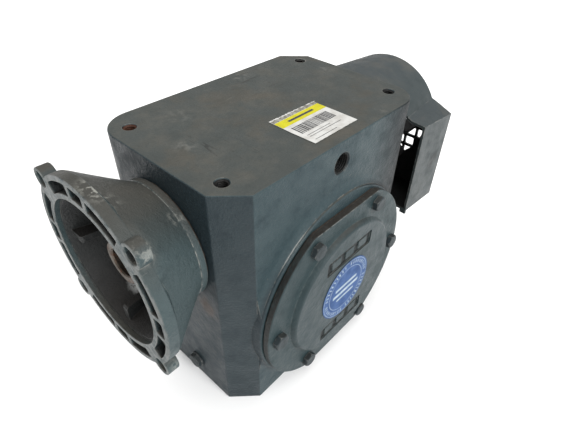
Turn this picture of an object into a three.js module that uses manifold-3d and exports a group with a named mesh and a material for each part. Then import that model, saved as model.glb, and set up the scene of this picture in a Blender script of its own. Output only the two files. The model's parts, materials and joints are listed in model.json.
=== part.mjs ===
// Right-angle worm gear reducer: cast-iron housing, C-face motor adapter with a hollow (quill) input,
// closed cover on the near side, solid output shaft on the far side, cooling fan under a duct-shaped shroud.
// Millimetres, +Z up, +X along the worm (motor at -X, fan at +X), output shaft along +Y, base face at z = 0.
import * as THREE from 'three';
import { mergeVertices } from 'three/addons/utils/BufferGeometryUtils.js';
import { ConvexGeometry } from 'three/addons/geometries/ConvexGeometry.js';
import Module from 'manifold-3d';

const wasm = await Module();
wasm.setup();

// ---------------------------------------------------------------- driving dimensions
const IN = 25.4;
const GAP = 0.3;                      // running / assembly gap between touching pieces
const HX = 111.5;                     // housing half length
const HY = 74.4;                      // housing half width
const HZ = 232.0;                     // housing height
const CORNER = 20.3;                  // leg of the vertical corner chamfers
const CORNER_R = 27.0;                // radius of the two rounded vertical corners
const WALL = 12.0;                    // casting wall
const ZW = 166.2;                     // worm axis height
const CD = 3.0 * IN;                  // centre distance
const ZO = ZW - CD;                   // output axis height
const MOUNT_X = 3.75 * IN;            // base and top tapped pattern, half pitch in X (7.5 in)
const MOUNT_Y = 2.0 * IN;             // half pitch in Y (4 in)
const MOUNT_R = 4.6;                  // 3/8 in tapped hole
const PIPE_R = 8.9;                   // 1/2 in pipe thread
const PIPE_Z = HZ - 19.6;
const DRAIN_R = 6.7;                  // 1/4 in pipe thread
const DRAIN_Y = -13.4, DRAIN_Z = 20.6, LEVEL_Z = 52;

const TEETH = 30;
const GEAR_PD = 4.25 * IN;
const WORM_PD = 2 * CD - GEAR_PD;
const LEAD = Math.PI * GEAR_PD / TEETH;   // single start
const THREAD_GAP = 0.3;                   // backlash taken off each flank
const GEAR_W = 28;
const HELIX = -1;                          // hand of the wheel teeth against the thread

const FLANGE_X = -164.3;              // C-face plane
const REGISTER_R = 4.5 * IN / 2;      // 4.500 in register
const BOLT_R = 5.875 * IN / 2;        // 5.875 in bolt circle
const FLANGE_R = 73.6;                // ring outside radius
const RIM_IN = 60.9;                  // outside of the inner rim
const RIM_OUT = 69.6;                 // inside of the outer rim
const FLANGE_T = 9.0;
const EAR_R = 8.6;
const EAR_T = 9.8;
const BASE_R = 48.8;                  // adapter foot on the housing
const SCREW_R = 36.8;                 // its four screws, inside the bell

const PAD_R = 94.0;                   // cast pads on the two long sides
const PAD_Y = 80.4;
const COVER_R = 93.0;
const COVER_T = 5.6, COVER_FLAT = 83.0;  // rim cut off flat above and below the axis
const COVER_BC = 81.25;
const BOSS_R1 = 70.5, BOSS_R2 = 65.5, BOSS_T = 5.8;
const PILOT_R = 66.0;
const BOLT_AF = 0.5 * IN;
const HEAD_H = 5.0;

const QUILL_R = 17.5;
const QUILL_BORE = 7 / 8 * IN / 2;
const QUILL_END = FLANGE_X + 14.3;
const SHAFT_R = 1.375 * IN / 2;
const SHAFT_END = 168;

const FRONT_BRG_R = 31, REAR_BRG_R = 36;
const FAN_R = 53;
const SHROUD_X0 = 111.8, WING_X0 = 130.5, SHROUD_X1 = 187.8;
const SHROUD_SCREWS = [[-33, ZW + 42], [33, ZW + 42], [-44, 100], [44, 100]];
const SHROUD_R = 61.3, WING_Y = 77.0, WING_Z0 = 90.5, SHEET = 2.4;

// ---------------------------------------------------------------- materials
const mat = (color, roughness, metalness) => () => new THREE.MeshStandardMaterial({ color, roughness, metalness });
const PAINT = mat(0x5f6b70, 0.55, 0.25);
const PAINT_SHEET = mat(0x6d777a, 0.5, 0.2);
const STEEL = mat(0x9a9ea3, 0.35, 0.9);
const DARK_BOLT = mat(0x2b3032, 0.5, 0.6);
const BRONZE = mat(0xa9793a, 0.4, 0.85);
const IRON = mat(0x55585a, 0.7, 0.4);
const RUBBER = mat(0x1d1d1e, 0.85, 0.0);
const PLASTIC = mat(0x1b1d20, 0.7, 0.0);
const PAPER = mat(0xf0f0ee, 0.6, 0.0);
const BLUE = mat(0x2a5f9e, 0.5, 0.0);
const GASKET = mat(0x4a3f36, 0.9, 0.0);

// ---------------------------------------------------------------- solid helpers
function M(geo) {
  const g = geo.clone(); g.deleteAttribute('normal'); g.deleteAttribute('uv');
  const m = mergeVertices(g, 1e-4);
  const p = m.attributes.position.array, idx = m.index.array, tri = [];
  for (let i = 0; i < idx.length; i += 3) {
    const [a, b, c] = [idx[i], idx[i + 1], idx[i + 2]];
    if (a !== b && b !== c && a !== c) tri.push(a, b, c);
  }
  return new wasm.Manifold(new wasm.Mesh({ numProp: 3, vertProperties: new Float32Array(p), triVerts: new Uint32Array(tri) }));
}
const add = (...s) => s.reduce((a, b) => a.add(b));
const cut = (a, ...s) => s.reduce((x, b) => x.subtract(b), a);
function G(m) {
  const r = m.getMesh(), g = new THREE.BufferGeometry();
  const pos = new Float32Array(r.numVert * 3);
  for (let i = 0; i < r.numVert; i++) for (let k = 0; k < 3; k++) pos[3 * i + k] = r.vertProperties[r.numProp * i + k];
  g.setAttribute('position', new THREE.BufferAttribute(pos, 3));
  g.setIndex(Array.from(r.triVerts));
  const f = g.toNonIndexed(); f.computeVertexNormals(); return f;
}
const place = (geo, mx) => { const g = geo.clone(); g.applyMatrix4(mx); return g; };
const T = (x, y, z) => new THREE.Matrix4().makeTranslation(x, y, z);
const RX = a => new THREE.Matrix4().makeRotationX(a);
const RY = a => new THREE.Matrix4().makeRotationY(a);
const RZ = a => new THREE.Matrix4().makeRotationZ(a);
const mul = (...m) => m.reduce((a, b) => a.clone().multiply(b));
// axis frames: local +Y of a lathe goes to the named axis
const ALONG_X = (y, z) => mul(T(0, y, z), RZ(-Math.PI / 2));
const ALONG_Y = (x, z) => T(x, 0, z);
const ALONG_Z = (x, y) => mul(T(x, y, 0), RX(Math.PI / 2));
function lathe(profile, frame, seg = 20) {          // profile [[r, along], ...] closed on itself or on the axis
  const pts = profile.map(p => new THREE.Vector2(p[0], p[1]));
  let area = 0;
  for (let i = 0; i < pts.length; i++) { const a = pts[i], b = pts[(i + 1) % pts.length]; area += a.x * b.y - b.x * a.y; }
  if (area < 0) pts.reverse();
  if (!(pts[0].x < 1e-6 && pts[pts.length - 1].x < 1e-6)) pts.push(pts[0].clone());
  return place(new THREE.LatheGeometry(pts, seg), frame);
}
const rod = (r, a0, a1, frame, seg = 20) => lathe([[0, a0], [r, a0], [r, a1], [0, a1]], frame, seg);
const ring = (ri, ro, a0, a1, frame, seg = 20) => lathe([[ri, a0], [ro, a0], [ro, a1], [ri, a1]], frame, seg);
const box = (x0, x1, y0, y1, z0, z1) => place(new THREE.BoxGeometry(x1 - x0, y1 - y0, z1 - z0), T((x0 + x1) / 2, (y0 + y1) / 2, (z0 + z1) / 2));
function extrude(pts, depth, mx, steps = 1) {
  const s = new THREE.Shape(pts.map(p => new THREE.Vector2(p[0], p[1])));
  const g = new THREE.ExtrudeGeometry(s, { depth, steps, bevelEnabled: false });
  return mx ? place(g, mx) : g;
}
// outlines drawn as (y, z) pairs and pushed along +X from x0
const YZ_TO_X = x0 => new THREE.Matrix4().set(0, 0, 1, x0, 1, 0, 0, 0, 0, 1, 0, 0, 0, 0, 0, 1);
const alongX = (pts, x0, x1) => extrude(pts, x1 - x0, YZ_TO_X(x0));
// outlines drawn as (z, x) pairs and pushed along +Y from y0
const ZX_TO_Y = y0 => new THREE.Matrix4().set(0, 1, 0, 0, 0, 0, 1, y0, 1, 0, 0, 0, 0, 0, 0, 1);
const alongY = (pts, y0, y1) => extrude(pts.map(p => [p[1], p[0]]).reverse(), y1 - y0, ZX_TO_Y(y0));
const arc = (cx, cy, r, a0, a1, n) => Array.from({ length: n + 1 }, (_, i) => {
  const a = (a0 + (a1 - a0) * i / n) * Math.PI / 180; return [cx + r * Math.cos(a), cy + r * Math.sin(a)];
});
const polar = (r, deg) => [r * Math.cos(deg * Math.PI / 180), r * Math.sin(deg * Math.PI / 180)];

const group = new THREE.Group();
group.name = 'worm_gearbox';
function node(name, solid, material) {
  const mesh = new THREE.Mesh(solid.isBufferGeometry ? solid : G(solid), material());
  mesh.name = name; group.add(mesh);
}

// ---------------------------------------------------------------- housing casting
function bodyOutline(inset) {
  const x = HX - inset, y = HY - inset, c = CORNER - inset * 0.586, r = Math.max(CORNER_R - inset, 8);
  return [
    [-x, -y + c], [-x + c, -y],                                   // chamfer, motor end, cover side
    ...arc(x - r, -y + r, r, -90, 0, 5),                          // round, fan end, cover side
    [x, y - c], [x - c, y],                                       // chamfer, fan end, shaft side
    ...arc(-x + r, y - r, r, 90, 180, 5),                         // round, motor end, shaft side
  ];
}
const prism = (pts, z0, z1) => extrude(pts, z1 - z0, T(0, 0, z0));
function threadHole(r, depth, pitch, frame, a0, sgn, seg = 20) {   // zig-zag tapped bore
  const prof = [[0, a0 - sgn * 1], [r, a0 - sgn * 1]];
  const n = 4;
  for (let i = 0; i < n; i++) { prof.push([r, a0 + sgn * i * pitch], [r - 0.75, a0 + sgn * (i + 0.5) * pitch]); }
  prof.push([r - 0.4, a0 + sgn * n * pitch], [r - 0.4, a0 + sgn * depth], [0, a0 + sgn * depth]);
  return lathe(prof, frame, seg);
}
{
  let h = M(prism(bodyOutline(0), 0, HZ));
  // pads under the two covers, blended to the side walls by a draft and stopped at the base
  for (const s of [-1, 1]) {
    const pad = M(lathe([[0, s * 60], [PAD_R + 1.2, s * 60], [PAD_R + 1.2, s * (HY + 2)], [PAD_R + 0.6, s * (PAD_Y - 0.8)], [PAD_R - 0.2, s * PAD_Y], [0, s * PAD_Y]], ALONG_Y(0, ZO), 48));
    const fillet = M(lathe([[0, s * (HY - 3)], [PAD_R + 8, s * (HY - 3)], [PAD_R + 8, s * HY], [PAD_R + 4, s * (HY + 0.9)], [PAD_R + 1.6, s * (HY + 3.4)], [0, s * (HY + 3.4)]], ALONG_Y(0, ZO), 48));
    const x0 = s < 0 ? -HX + CORNER : -HX + CORNER_R;
    h = h.add(pad.intersect(M(box(-HX + 4, HX - 4, -90, 90, 0, HZ))));
    h = h.add(fillet.intersect(M(box(x0, s < 0 ? HX - CORNER_R : HX - CORNER, -90, 90, 0, HZ))));
  }
  // cored interior, leaving walls and four bearing bosses
  let core = M(prism(bodyOutline(WALL), WALL + 2, HZ - WALL - 4));
  core = cut(core,
    M(rod(FRONT_BRG_R + 11, -HX - 1, -78, ALONG_X(0, ZW), 20)),
    M(rod(REAR_BRG_R + 9, 76, HX + 1, ALONG_X(0, ZW), 20)));
  h = cut(h, core);
  h = cut(h,
    M(rod(FRONT_BRG_R, -HX - 5, -70, ALONG_X(0, ZW), 20)),
    M(rod(REAR_BRG_R, 70, HX + 5, ALONG_X(0, ZW), 20)),
    M(rod(PILOT_R, -PAD_Y - 5, PAD_Y + 5, ALONG_Y(0, ZO), 36)));
  // tapped holes: four on top, four underneath
  for (const sx of [-1, 1]) for (const sy of [-1, 1]) {
    h = cut(h, M(rod(MOUNT_R, HZ - 13.5, HZ + 2, mul(T(sx * MOUNT_X, sy * MOUNT_Y, 0), RX(Math.PI / 2)), 12)),
      M(rod(MOUNT_R, -2, 12, mul(T(sx * MOUNT_X, sy * MOUNT_Y, 0), RX(Math.PI / 2)), 8)));
  }
  // filler hole high on the cover side, the same one on the shaft side, and two low holes in the end walls
  h = cut(h, M(threadHole(PIPE_R, HY - 55, 2.6, ALONG_Y(0, PIPE_Z), -HY, 1, 14)));
  h = cut(h, M(rod(PIPE_R, 55, HY + 3, ALONG_Y(0, PIPE_Z), 14)));
  h = cut(h, M(rod(DRAIN_R, -HX - 2, -HX + WALL + 4, ALONG_X(DRAIN_Y, DRAIN_Z), 14)), M(rod(DRAIN_R, HX - WALL - 4, HX + 2, ALONG_X(0, LEVEL_Z), 14)));
  // bolt holes of both covers
  for (let k = 0; k < 6; k++) {
    const [dx, dz] = polar(COVER_BC, 60 * k);
    for (const s of [-1, 1]) h = cut(h, M(rod(5.0, s > 0 ? 60 : -PAD_Y - 2, s > 0 ? PAD_Y + 2 : -60, ALONG_Y(dx, ZO + dz), 6)));
  }
  // snap-ring groove behind the fan-end seal carrier
  h = cut(h, M(rod(38, HX - 2.8, HX - 0.6, ALONG_X(0, ZW), 20)));
  // screw holes of the adapter foot
  for (let k = 0; k < 4; k++) {
    const [a, b] = polar(SCREW_R, 45 + 90 * k);
    h = cut(h, M(rod(3.3, -HX - 2, -HX + 18, ALONG_X(a, ZW + b), 6)));
  }
  // shroud screw holes in the fan-end wall
  for (const [y, z] of SHROUD_SCREWS) h = cut(h, M(rod(3.1, HX - 9, HX + 2, ALONG_X(y, z), 6)));
  node('housing', h, PAINT);
}

// ---------------------------------------------------------------- C-face motor adapter
{
  const X1 = -HX - 1.2;                                   // foot plane, gasket between it and the housing
  const XF = FLANGE_X;
  let a = M(ring(RIM_IN - 6, FLANGE_R, XF, XF + FLANGE_T, ALONG_X(0, ZW), 40));
  // square-to-round body behind the ring
  const sq = 64.0, rr = 44.0, pts = [];
  for (const [cx, cy, s] of [[1, 1, 0], [-1, 1, 90], [-1, -1, 180], [1, -1, 270]])
    for (const p of arc(cx * (sq - rr), cy * (sq - rr), rr, s, s + 90, 4)) pts.push(new THREE.Vector3(XF + FLANGE_T - 1, p[0], ZW + p[1]));
  for (const p of arc(0, 0, BASE_R - 1.6, 0, 345, 23)) pts.push(new THREE.Vector3(X1 - 3.4, p[0], ZW + p[1]));
  const ringLimit = M(rod(FLANGE_R, XF, X1, ALONG_X(0, ZW), 40));
  a = a.add(M(new ConvexGeometry(pts)).intersect(ringLimit));
  a = a.add(M(rod(BASE_R, X1 - 5.0, X1, ALONG_X(0, ZW), 36)));
  // four ears on the bolt circle, tied to the ring
  for (let k = 0; k < 4; k++) {
    const [y, z] = polar(BOLT_R, 45 + 90 * k);
    const ear = [...arc(0, 0, EAR_R, -90, 90, 6), [-16, EAR_R], [-16, -EAR_R]];
    a = a.add(M(place(extrude(ear, EAR_T), mul(T(0, y, ZW + z), YZ_TO_X(XF), RZ((45 + 90 * k) * Math.PI / 180)))));
  }
  // register, stepped mouth and tapering inside
  a = cut(a, M(lathe([[0, XF - 2], [REGISTER_R, XF - 2], [REGISTER_R, XF + 4.4], [55.6, XF + 4.4], [54.0, XF + 9], [42.6, X1 - 8], [0, X1 - 8]], ALONG_X(0, ZW), 40)));
  // four inside ribs, back from the mouth, ending on the foot plate
  for (let k = 0; k < 4; k++) {
    const rib = [[XF + 7.5, 55], [XF + 7.5, 42.5], [XF + 9, 41], [X1 - 7.5, 36], [X1 - 7.5, 44.4], [XF + 16, 54]];
    a = a.add(M(place(extrude(rib, 5.6, T(0, 0, -2.8)), mul(T(0, 0, ZW), RX((90 * k) * Math.PI / 180)))));
  }
  // seal bore and shaft passage
  a = cut(a, M(lathe([[0, X1 - 12], [26, X1 - 12], [26, X1 + 1.5], [0, X1 + 1.5]], ALONG_X(0, ZW), 24)));
  // lightening pockets between the two rims: four short ones on the axes, eight long ones
  const pocket = (a0, a1, n) => [...arc(0, ZW, RIM_OUT, a0, a1, n), ...arc(0, ZW, RIM_IN, a1, a0, n)];
  for (let k = 0; k < 4; k++) {
    const c = 90 * k;
    a = cut(a, M(alongX(pocket(c - 6.8, c + 6.8, 1), XF - 1, XF + FLANGE_T - 2.2)),
      M(alongX(pocket(c + 9.8, c + 36.2, 3), XF - 1, XF + FLANGE_T - 2.2)),
      M(alongX(pocket(c - 36.2, c - 9.8, 3), XF - 1, XF + FLANGE_T - 2.2)));
    const [y, z] = polar(BOLT_R, 45 + 90 * k);
    a = cut(a, M(rod(5.9, XF - 1, XF + EAR_T + 1, ALONG_X(y, ZW + z), 12)));
    const [sy, sz] = polar(SCREW_R, 45 + 90 * k);
    a = cut(a, M(rod(3.3, X1 - 14, X1 + 1, ALONG_X(sy, ZW + sz), 8)));
  }
  node('c_face_adapter', a, PAINT);
  node('adapter_gasket', cut(M(ring(27.5, BASE_R - 1, -HX - 0.9, -HX - GAP, ALONG_X(0, ZW), 24)),
    ...[0, 1, 2, 3].map(k => { const [y, z] = polar(SCREW_R, 45 + 90 * k); return M(rod(3.3, -HX - 2, -HX + 1, ALONG_X(y, ZW + z), 6)); })), GASKET);
}
// cap screw with a hexagon head; local -axis direction s (+1: shank points to +)
function hexBolt(af, hh, r, len, washer) {
  const c = af / Math.sqrt(3), hex = Array.from({ length: 6 }, (_, i) => polar(c, 60 * i));
  let b = M(extrude(hex, hh, T(0, 0, -hh)));
  if (washer) b = b.add(M(rod(washer, -1.0, 0, RX(Math.PI / 2), 12)));
  return G(b.add(M(rod(r, -1, len, RX(Math.PI / 2), 6))));
}
const toPlusX = (x, y, z) => mul(T(x, y, z), RY(Math.PI / 2));
const toMinusX = (x, y, z) => mul(T(x, y, z), RY(-Math.PI / 2));
const toPlusY = (x, y, z) => mul(T(x, y, z), RX(-Math.PI / 2));
const toMinusY = (x, y, z) => mul(T(x, y, z), RX(Math.PI / 2));
{
  const s = hexBolt(8.8, 4.2, 2.5, 21, 0);
  for (let k = 0; k < 4; k++) {
    const [y, z] = polar(SCREW_R, 45 + 90 * k);
    node('adapter_screw_' + (k + 1), place(s, toPlusX(-HX - 1.2 - 8 - GAP, y, ZW + z)), DARK_BOLT);
  }
}
// spring-loaded lip seals: metal-cased ring with a lip turned in to the shaft
const seal = (ri, ro, a0, a1, frame, s) => lathe([[ri, s > 0 ? a1 : a0], [ro - 2.8, s > 0 ? a0 + 2.2 : a1 - 2.2], [ro - 2.2, s > 0 ? a1 - 0.5 : a0 + 0.5], [ro, s > 0 ? a1 - 0.5 : a0 + 0.5], [ro, s > 0 ? a0 : a1], [ri + 1.6, s > 0 ? a0 : a1]], frame, 20);
node('input_oil_seal', M(seal(QUILL_R + GAP, 26 - GAP, -HX - 9, -HX - 1.4, ALONG_X(0, ZW), 1)), RUBBER);

// ---------------------------------------------------------------- worm shaft and its bearings
{
  const P = [[0, QUILL_END], [QUILL_R - 1, QUILL_END], [QUILL_R, QUILL_END + 1], [QUILL_R, -89], [21, -89], [21, -80], [17.6, -76], [17.6, 78], [21, 82], [21, 82.5], [QUILL_R, 82.5], [QUILL_R, 102.5], [15, 102.5], [15, 124], [10, 126], [10, 170.5], [9, 171.5], [0, 171.5]];
  let w = M(lathe(P, ALONG_X(0, ZW), 20));
  // single-start thread wound from a straight trapezoidal bar
  const turns = 5.2, seg = 13, n = Math.round(turns * seg), r0 = 17.0, r1 = WORM_PD / 2 + 3.3;
  const tan20 = Math.tan(20 * Math.PI / 180);
  const half = r => LEAD / 4 - THREAD_GAP - (r - WORM_PD / 2) * tan20;
  const bar = extrude([[-half(r0), r0], [half(r0), r0], [half(r1), r1], [-half(r1), r1]], 1, null, n);
  const p = bar.attributes.position;
  for (let i = 0; i < p.count; i++) {
    const t = p.getZ(i), u = p.getX(i); let r = p.getY(i);
    const fade = Math.min(1, Math.min(t, 1 - t) * turns / 0.35);
    if (r > r0 + 1) r = r0 + 1.2 + (r - r0 - 1.2) * fade;
    const phi = 2 * Math.PI * turns * (t - 0.5);
    p.setXYZ(i, u + LEAD * turns * (t - 0.5), r * Math.sin(phi), ZW - r * Math.cos(phi));
  }
  w = w.add(M(bar));
  // quill bore for the motor shaft, with its keyway
  w = cut(w, M(lathe([[0, QUILL_END - 2], [QUILL_BORE + 1, QUILL_END - 2], [QUILL_BORE + 1, QUILL_END], [QUILL_BORE, QUILL_END + 1], [QUILL_BORE, QUILL_END + 62], [0, QUILL_END + 66]], ALONG_X(0, ZW), 20)),
    M(box(QUILL_END - 2, QUILL_END + 58, -2.4, 2.4, ZW + 8, ZW + QUILL_BORE + 2.4)),
    M(ring(8.9, 12, 166.4, 168.0, ALONG_X(0, ZW), 20)));
  node('worm_shaft', w, STEEL);
}
// rolling elements strung on a thin cage: outline with a bulge outward and inward at every element
function lobedRing(rc, rb, web, count, depth, steps) {
  const loop = s => {
    const pts = [], half = Math.PI / count;
    for (let i = 0; i < count; i++) {
      const c = 2 * half * i, w = rb / rc;
      for (const [da, dr] of [[-w, web], [-w * 0.45, rb], [w * 0.45, rb], [w, web]]) pts.push([(rc + s * dr) * Math.cos(c + da), (rc + s * dr) * Math.sin(c + da)]);
    }
    return pts.map(q => new THREE.Vector2(q[0], q[1]));
  };
  const sh = new THREE.Shape(loop(1)); sh.holes.push(new THREE.Path(loop(-1).reverse()));
  return new THREE.ExtrudeGeometry(sh, { depth, steps, bevelEnabled: false });
}
function ballBearing(tag, ri, ro, x0, x1, nb) {
  const rc = (ri + ro) / 2, rb = (ro - ri) * 0.22, c = (x0 + x1) / 2, gi = rc - rb - 0.35, go = rc + rb + 0.35, f = ALONG_X(0, ZW), hi = rc - rb * 0.55, ho = rc + rb * 0.55, q = rb * 0.9;
  node(tag + '_outer_race', M(lathe([[ro - GAP, x0], [ro - GAP, x1], [ho, x1], [ho, c + q], [go, c], [ho, c - q], [ho, x0]], f, 20)), STEEL);
  node(tag + '_inner_race', M(lathe([[ri + GAP, x0], [hi, x0], [hi, c - q], [gi, c], [hi, c + q], [hi, x1], [ri + GAP, x1]], f, 20)), STEEL);
  // balls and their cage as one lobed ring, fullest on the middle plane
  const g = lobedRing(rc, rb - 0.55, 0.9, nb, 2 * (rb - 0.6), 2), p = g.attributes.position;
  for (let i = 0; i < p.count; i++) {
    const d = p.getZ(i) - (rb - 0.6), k = Math.abs(d) < 0.1 ? 1 : 0.55, a = Math.atan2(p.getY(i), p.getX(i)), r = rc + (Math.hypot(p.getX(i), p.getY(i)) - rc) * k;
    p.setXYZ(i, r * Math.cos(a), r * Math.sin(a), d);
  }
  node(tag + '_ball_set', M(place(g, mul(T(c, 0, ZW), YZ_TO_X(0)))), BRONZE);
}
ballBearing('front_bearing', QUILL_R, FRONT_BRG_R, -104, -90, 9);
ballBearing('rear_bearing', QUILL_R, REAR_BRG_R, 83.2, 101.2, 8);
node('front_snap_ring', M(ring(QUILL_R + GAP, 23.5, -106.6, -104.6, ALONG_X(0, ZW), 24)), STEEL);
// fan-end seal carrier, pressed in and held by an internal snap ring
{
  const f = ALONG_X(0, ZW);
  node('fan_end_cap', M(lathe([[20, HX - 9.8], [REAR_BRG_R - GAP, HX - 9.8], [REAR_BRG_R - GAP, HX - 2.8], [29.5, HX - 2.8], [28.5, HX + 1.2], [23.5, HX + 1.2], [23.5, HX - 7.6], [20, HX - 7.6]], f, 20)), PAINT);
  node('fan_end_snap_ring', M(ring(32.2, 37.5, HX - 2.4, HX - 1.0, f, 20)), STEEL);
  node('fan_end_oil_seal', M(seal(15 + GAP, 23.5 - GAP, HX - 7.3, HX + 0.6, f, -1)), RUBBER);
}

// ---------------------------------------------------------------- gear wheel
{
  const rp = GEAR_PD / 2, rb = rp * Math.cos(20 * Math.PI / 180), rt = rp + 3.2, rr = rp - 4.1;
  const inv = r => { const c = Math.min(1, rb / r), a = Math.acos(c); return Math.tan(a) - a; };
  const halfAt = r => (Math.PI / 2 / TEETH - THREAD_GAP / rp) + inv(rp) - inv(Math.max(r, rb));
  const out = [], rad = [rr, rb + 0.25, rp, rt];
  for (let i = 0; i < TEETH; i++) {
    const c = 2 * Math.PI * (i + 0.5) / TEETH + Math.PI / 2;   // a space under the worm thread at rest
    rad.forEach(r => out.push([r, c - halfAt(r)]));
    [...rad].reverse().forEach(r => out.push([r, c + halfAt(r)]));
  }
  const prof = out.map(([r, a]) => [r * Math.cos(a), r * Math.sin(a)]);
  const steps = 1, g = extrude(prof, GEAR_W, null, steps);
  // local: outline in (a, b), depth along d. a -> X, b -> Z, d -> -Y keeps a right-handed frame
  const p = g.attributes.position, lam = Math.atan(LEAD / (Math.PI * WORM_PD));
  for (let i = 0; i < p.count; i++) {
    const a = p.getX(i), b = p.getY(i), y = -(p.getZ(i) - GEAR_W / 2);
    const tw = HELIX * y * Math.tan(lam) / rp, X = a * Math.cos(tw) - b * Math.sin(tw), Z = a * Math.sin(tw) + b * Math.cos(tw);
    p.setXYZ(i, X, y, ZO + Z);
  }
  const rim = cut(M(g), M(rod(40.6, -20, 20, ALONG_Y(0, ZO), 24)));
  node('worm_wheel_rim', rim, BRONZE);
  let hub = M(lathe([[22.5 + GAP, -24], [33, -24], [33, -7], [40.3, -12], [40.3, 12], [33, 7], [33, 24], [22.5 + GAP, 24]], ALONG_Y(0, ZO), 24));
  hub = cut(hub, M(box(-5 - GAP, 5 + GAP, -26, 26, ZO + 15, ZO + 26.3)));
  node('worm_wheel_hub', hub, IRON);
}

// ---------------------------------------------------------------- output shaft, keys, bearings
{
  let s = M(lathe([[0, -85], [20, -85], [20, -62.5], [22.5, -62.5], [22.5, 62.5], [20, 62.5], [20, 99], [SHAFT_R, 100], [SHAFT_R, SHAFT_END - 1.5], [SHAFT_R - 1.5, SHAFT_END], [0, SHAFT_END]], ALONG_Y(0, ZO), 20));
  s = cut(s, M(box(-5 - GAP, 5 + GAP, -22.3, 22.3, ZO + 17.5, ZO + 24)), M(box(-4 - GAP, 4 + GAP, 108, SHAFT_END + 2, ZO + SHAFT_R - 4.2, ZO + SHAFT_R + 3)));
  node('output_shaft', s, STEEL);
  node('worm_wheel_key', M(box(-5, 5, -22, 22, ZO + 17.8, ZO + 26)), STEEL);
  node('output_shaft_key', M(box(-4, 4, 108.3, SHAFT_END - 3, ZO + SHAFT_R - 3.9, ZO + SHAFT_R + 3.9)), STEEL);
  node('worm_wheel_spacer', M(ring(22.5 + GAP, 28, 24.4, 61.6, ALONG_Y(0, ZO), 20)), STEEL);
}
function taperBearing(tag, s) {                       // s = -1 blind side, +1 shaft side; thrust faces look outward
  const f = ALONG_Y(0, ZO), y = v => s * v;
  node(tag + '_cup', M(lathe([[40 - GAP, y(64.5)], [40 - GAP, y(81.5)], [33.8, y(81.5)], [36.6, y(64.5)]], f, 20)), STEEL);
  node(tag + '_cone', M(lathe([[20 + GAP, y(62.9)], [31.2, y(62.9)], [31.2, y(65)], [29.4, y(65)], [26.6, y(81.5)], [26.6, y(83)], [20 + GAP, y(83)]], f, 20)), STEEL);
  const g = lobedRing(31.5, 2.4, 0.8, 14, 13.4, 1), p = g.attributes.position;
  for (let i = 0; i < p.count; i++) {
    const big = p.getZ(i) < 1, a = Math.atan2(p.getY(i), p.getX(i)), r = Math.hypot(p.getX(i), p.getY(i)) + (big ? 1.05 : -1.05);
    p.setXYZ(i, r * Math.cos(a), p.getZ(i), -r * Math.sin(a));
  }
  const c = M(place(g, s > 0 ? T(0, 66.6, ZO) : mul(T(0, -66.6, ZO), RX(Math.PI))));
  node(tag + '_roller_set', c, STEEL);
}
taperBearing('blind_bearing', -1);
taperBearing('drive_bearing', 1);

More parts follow.
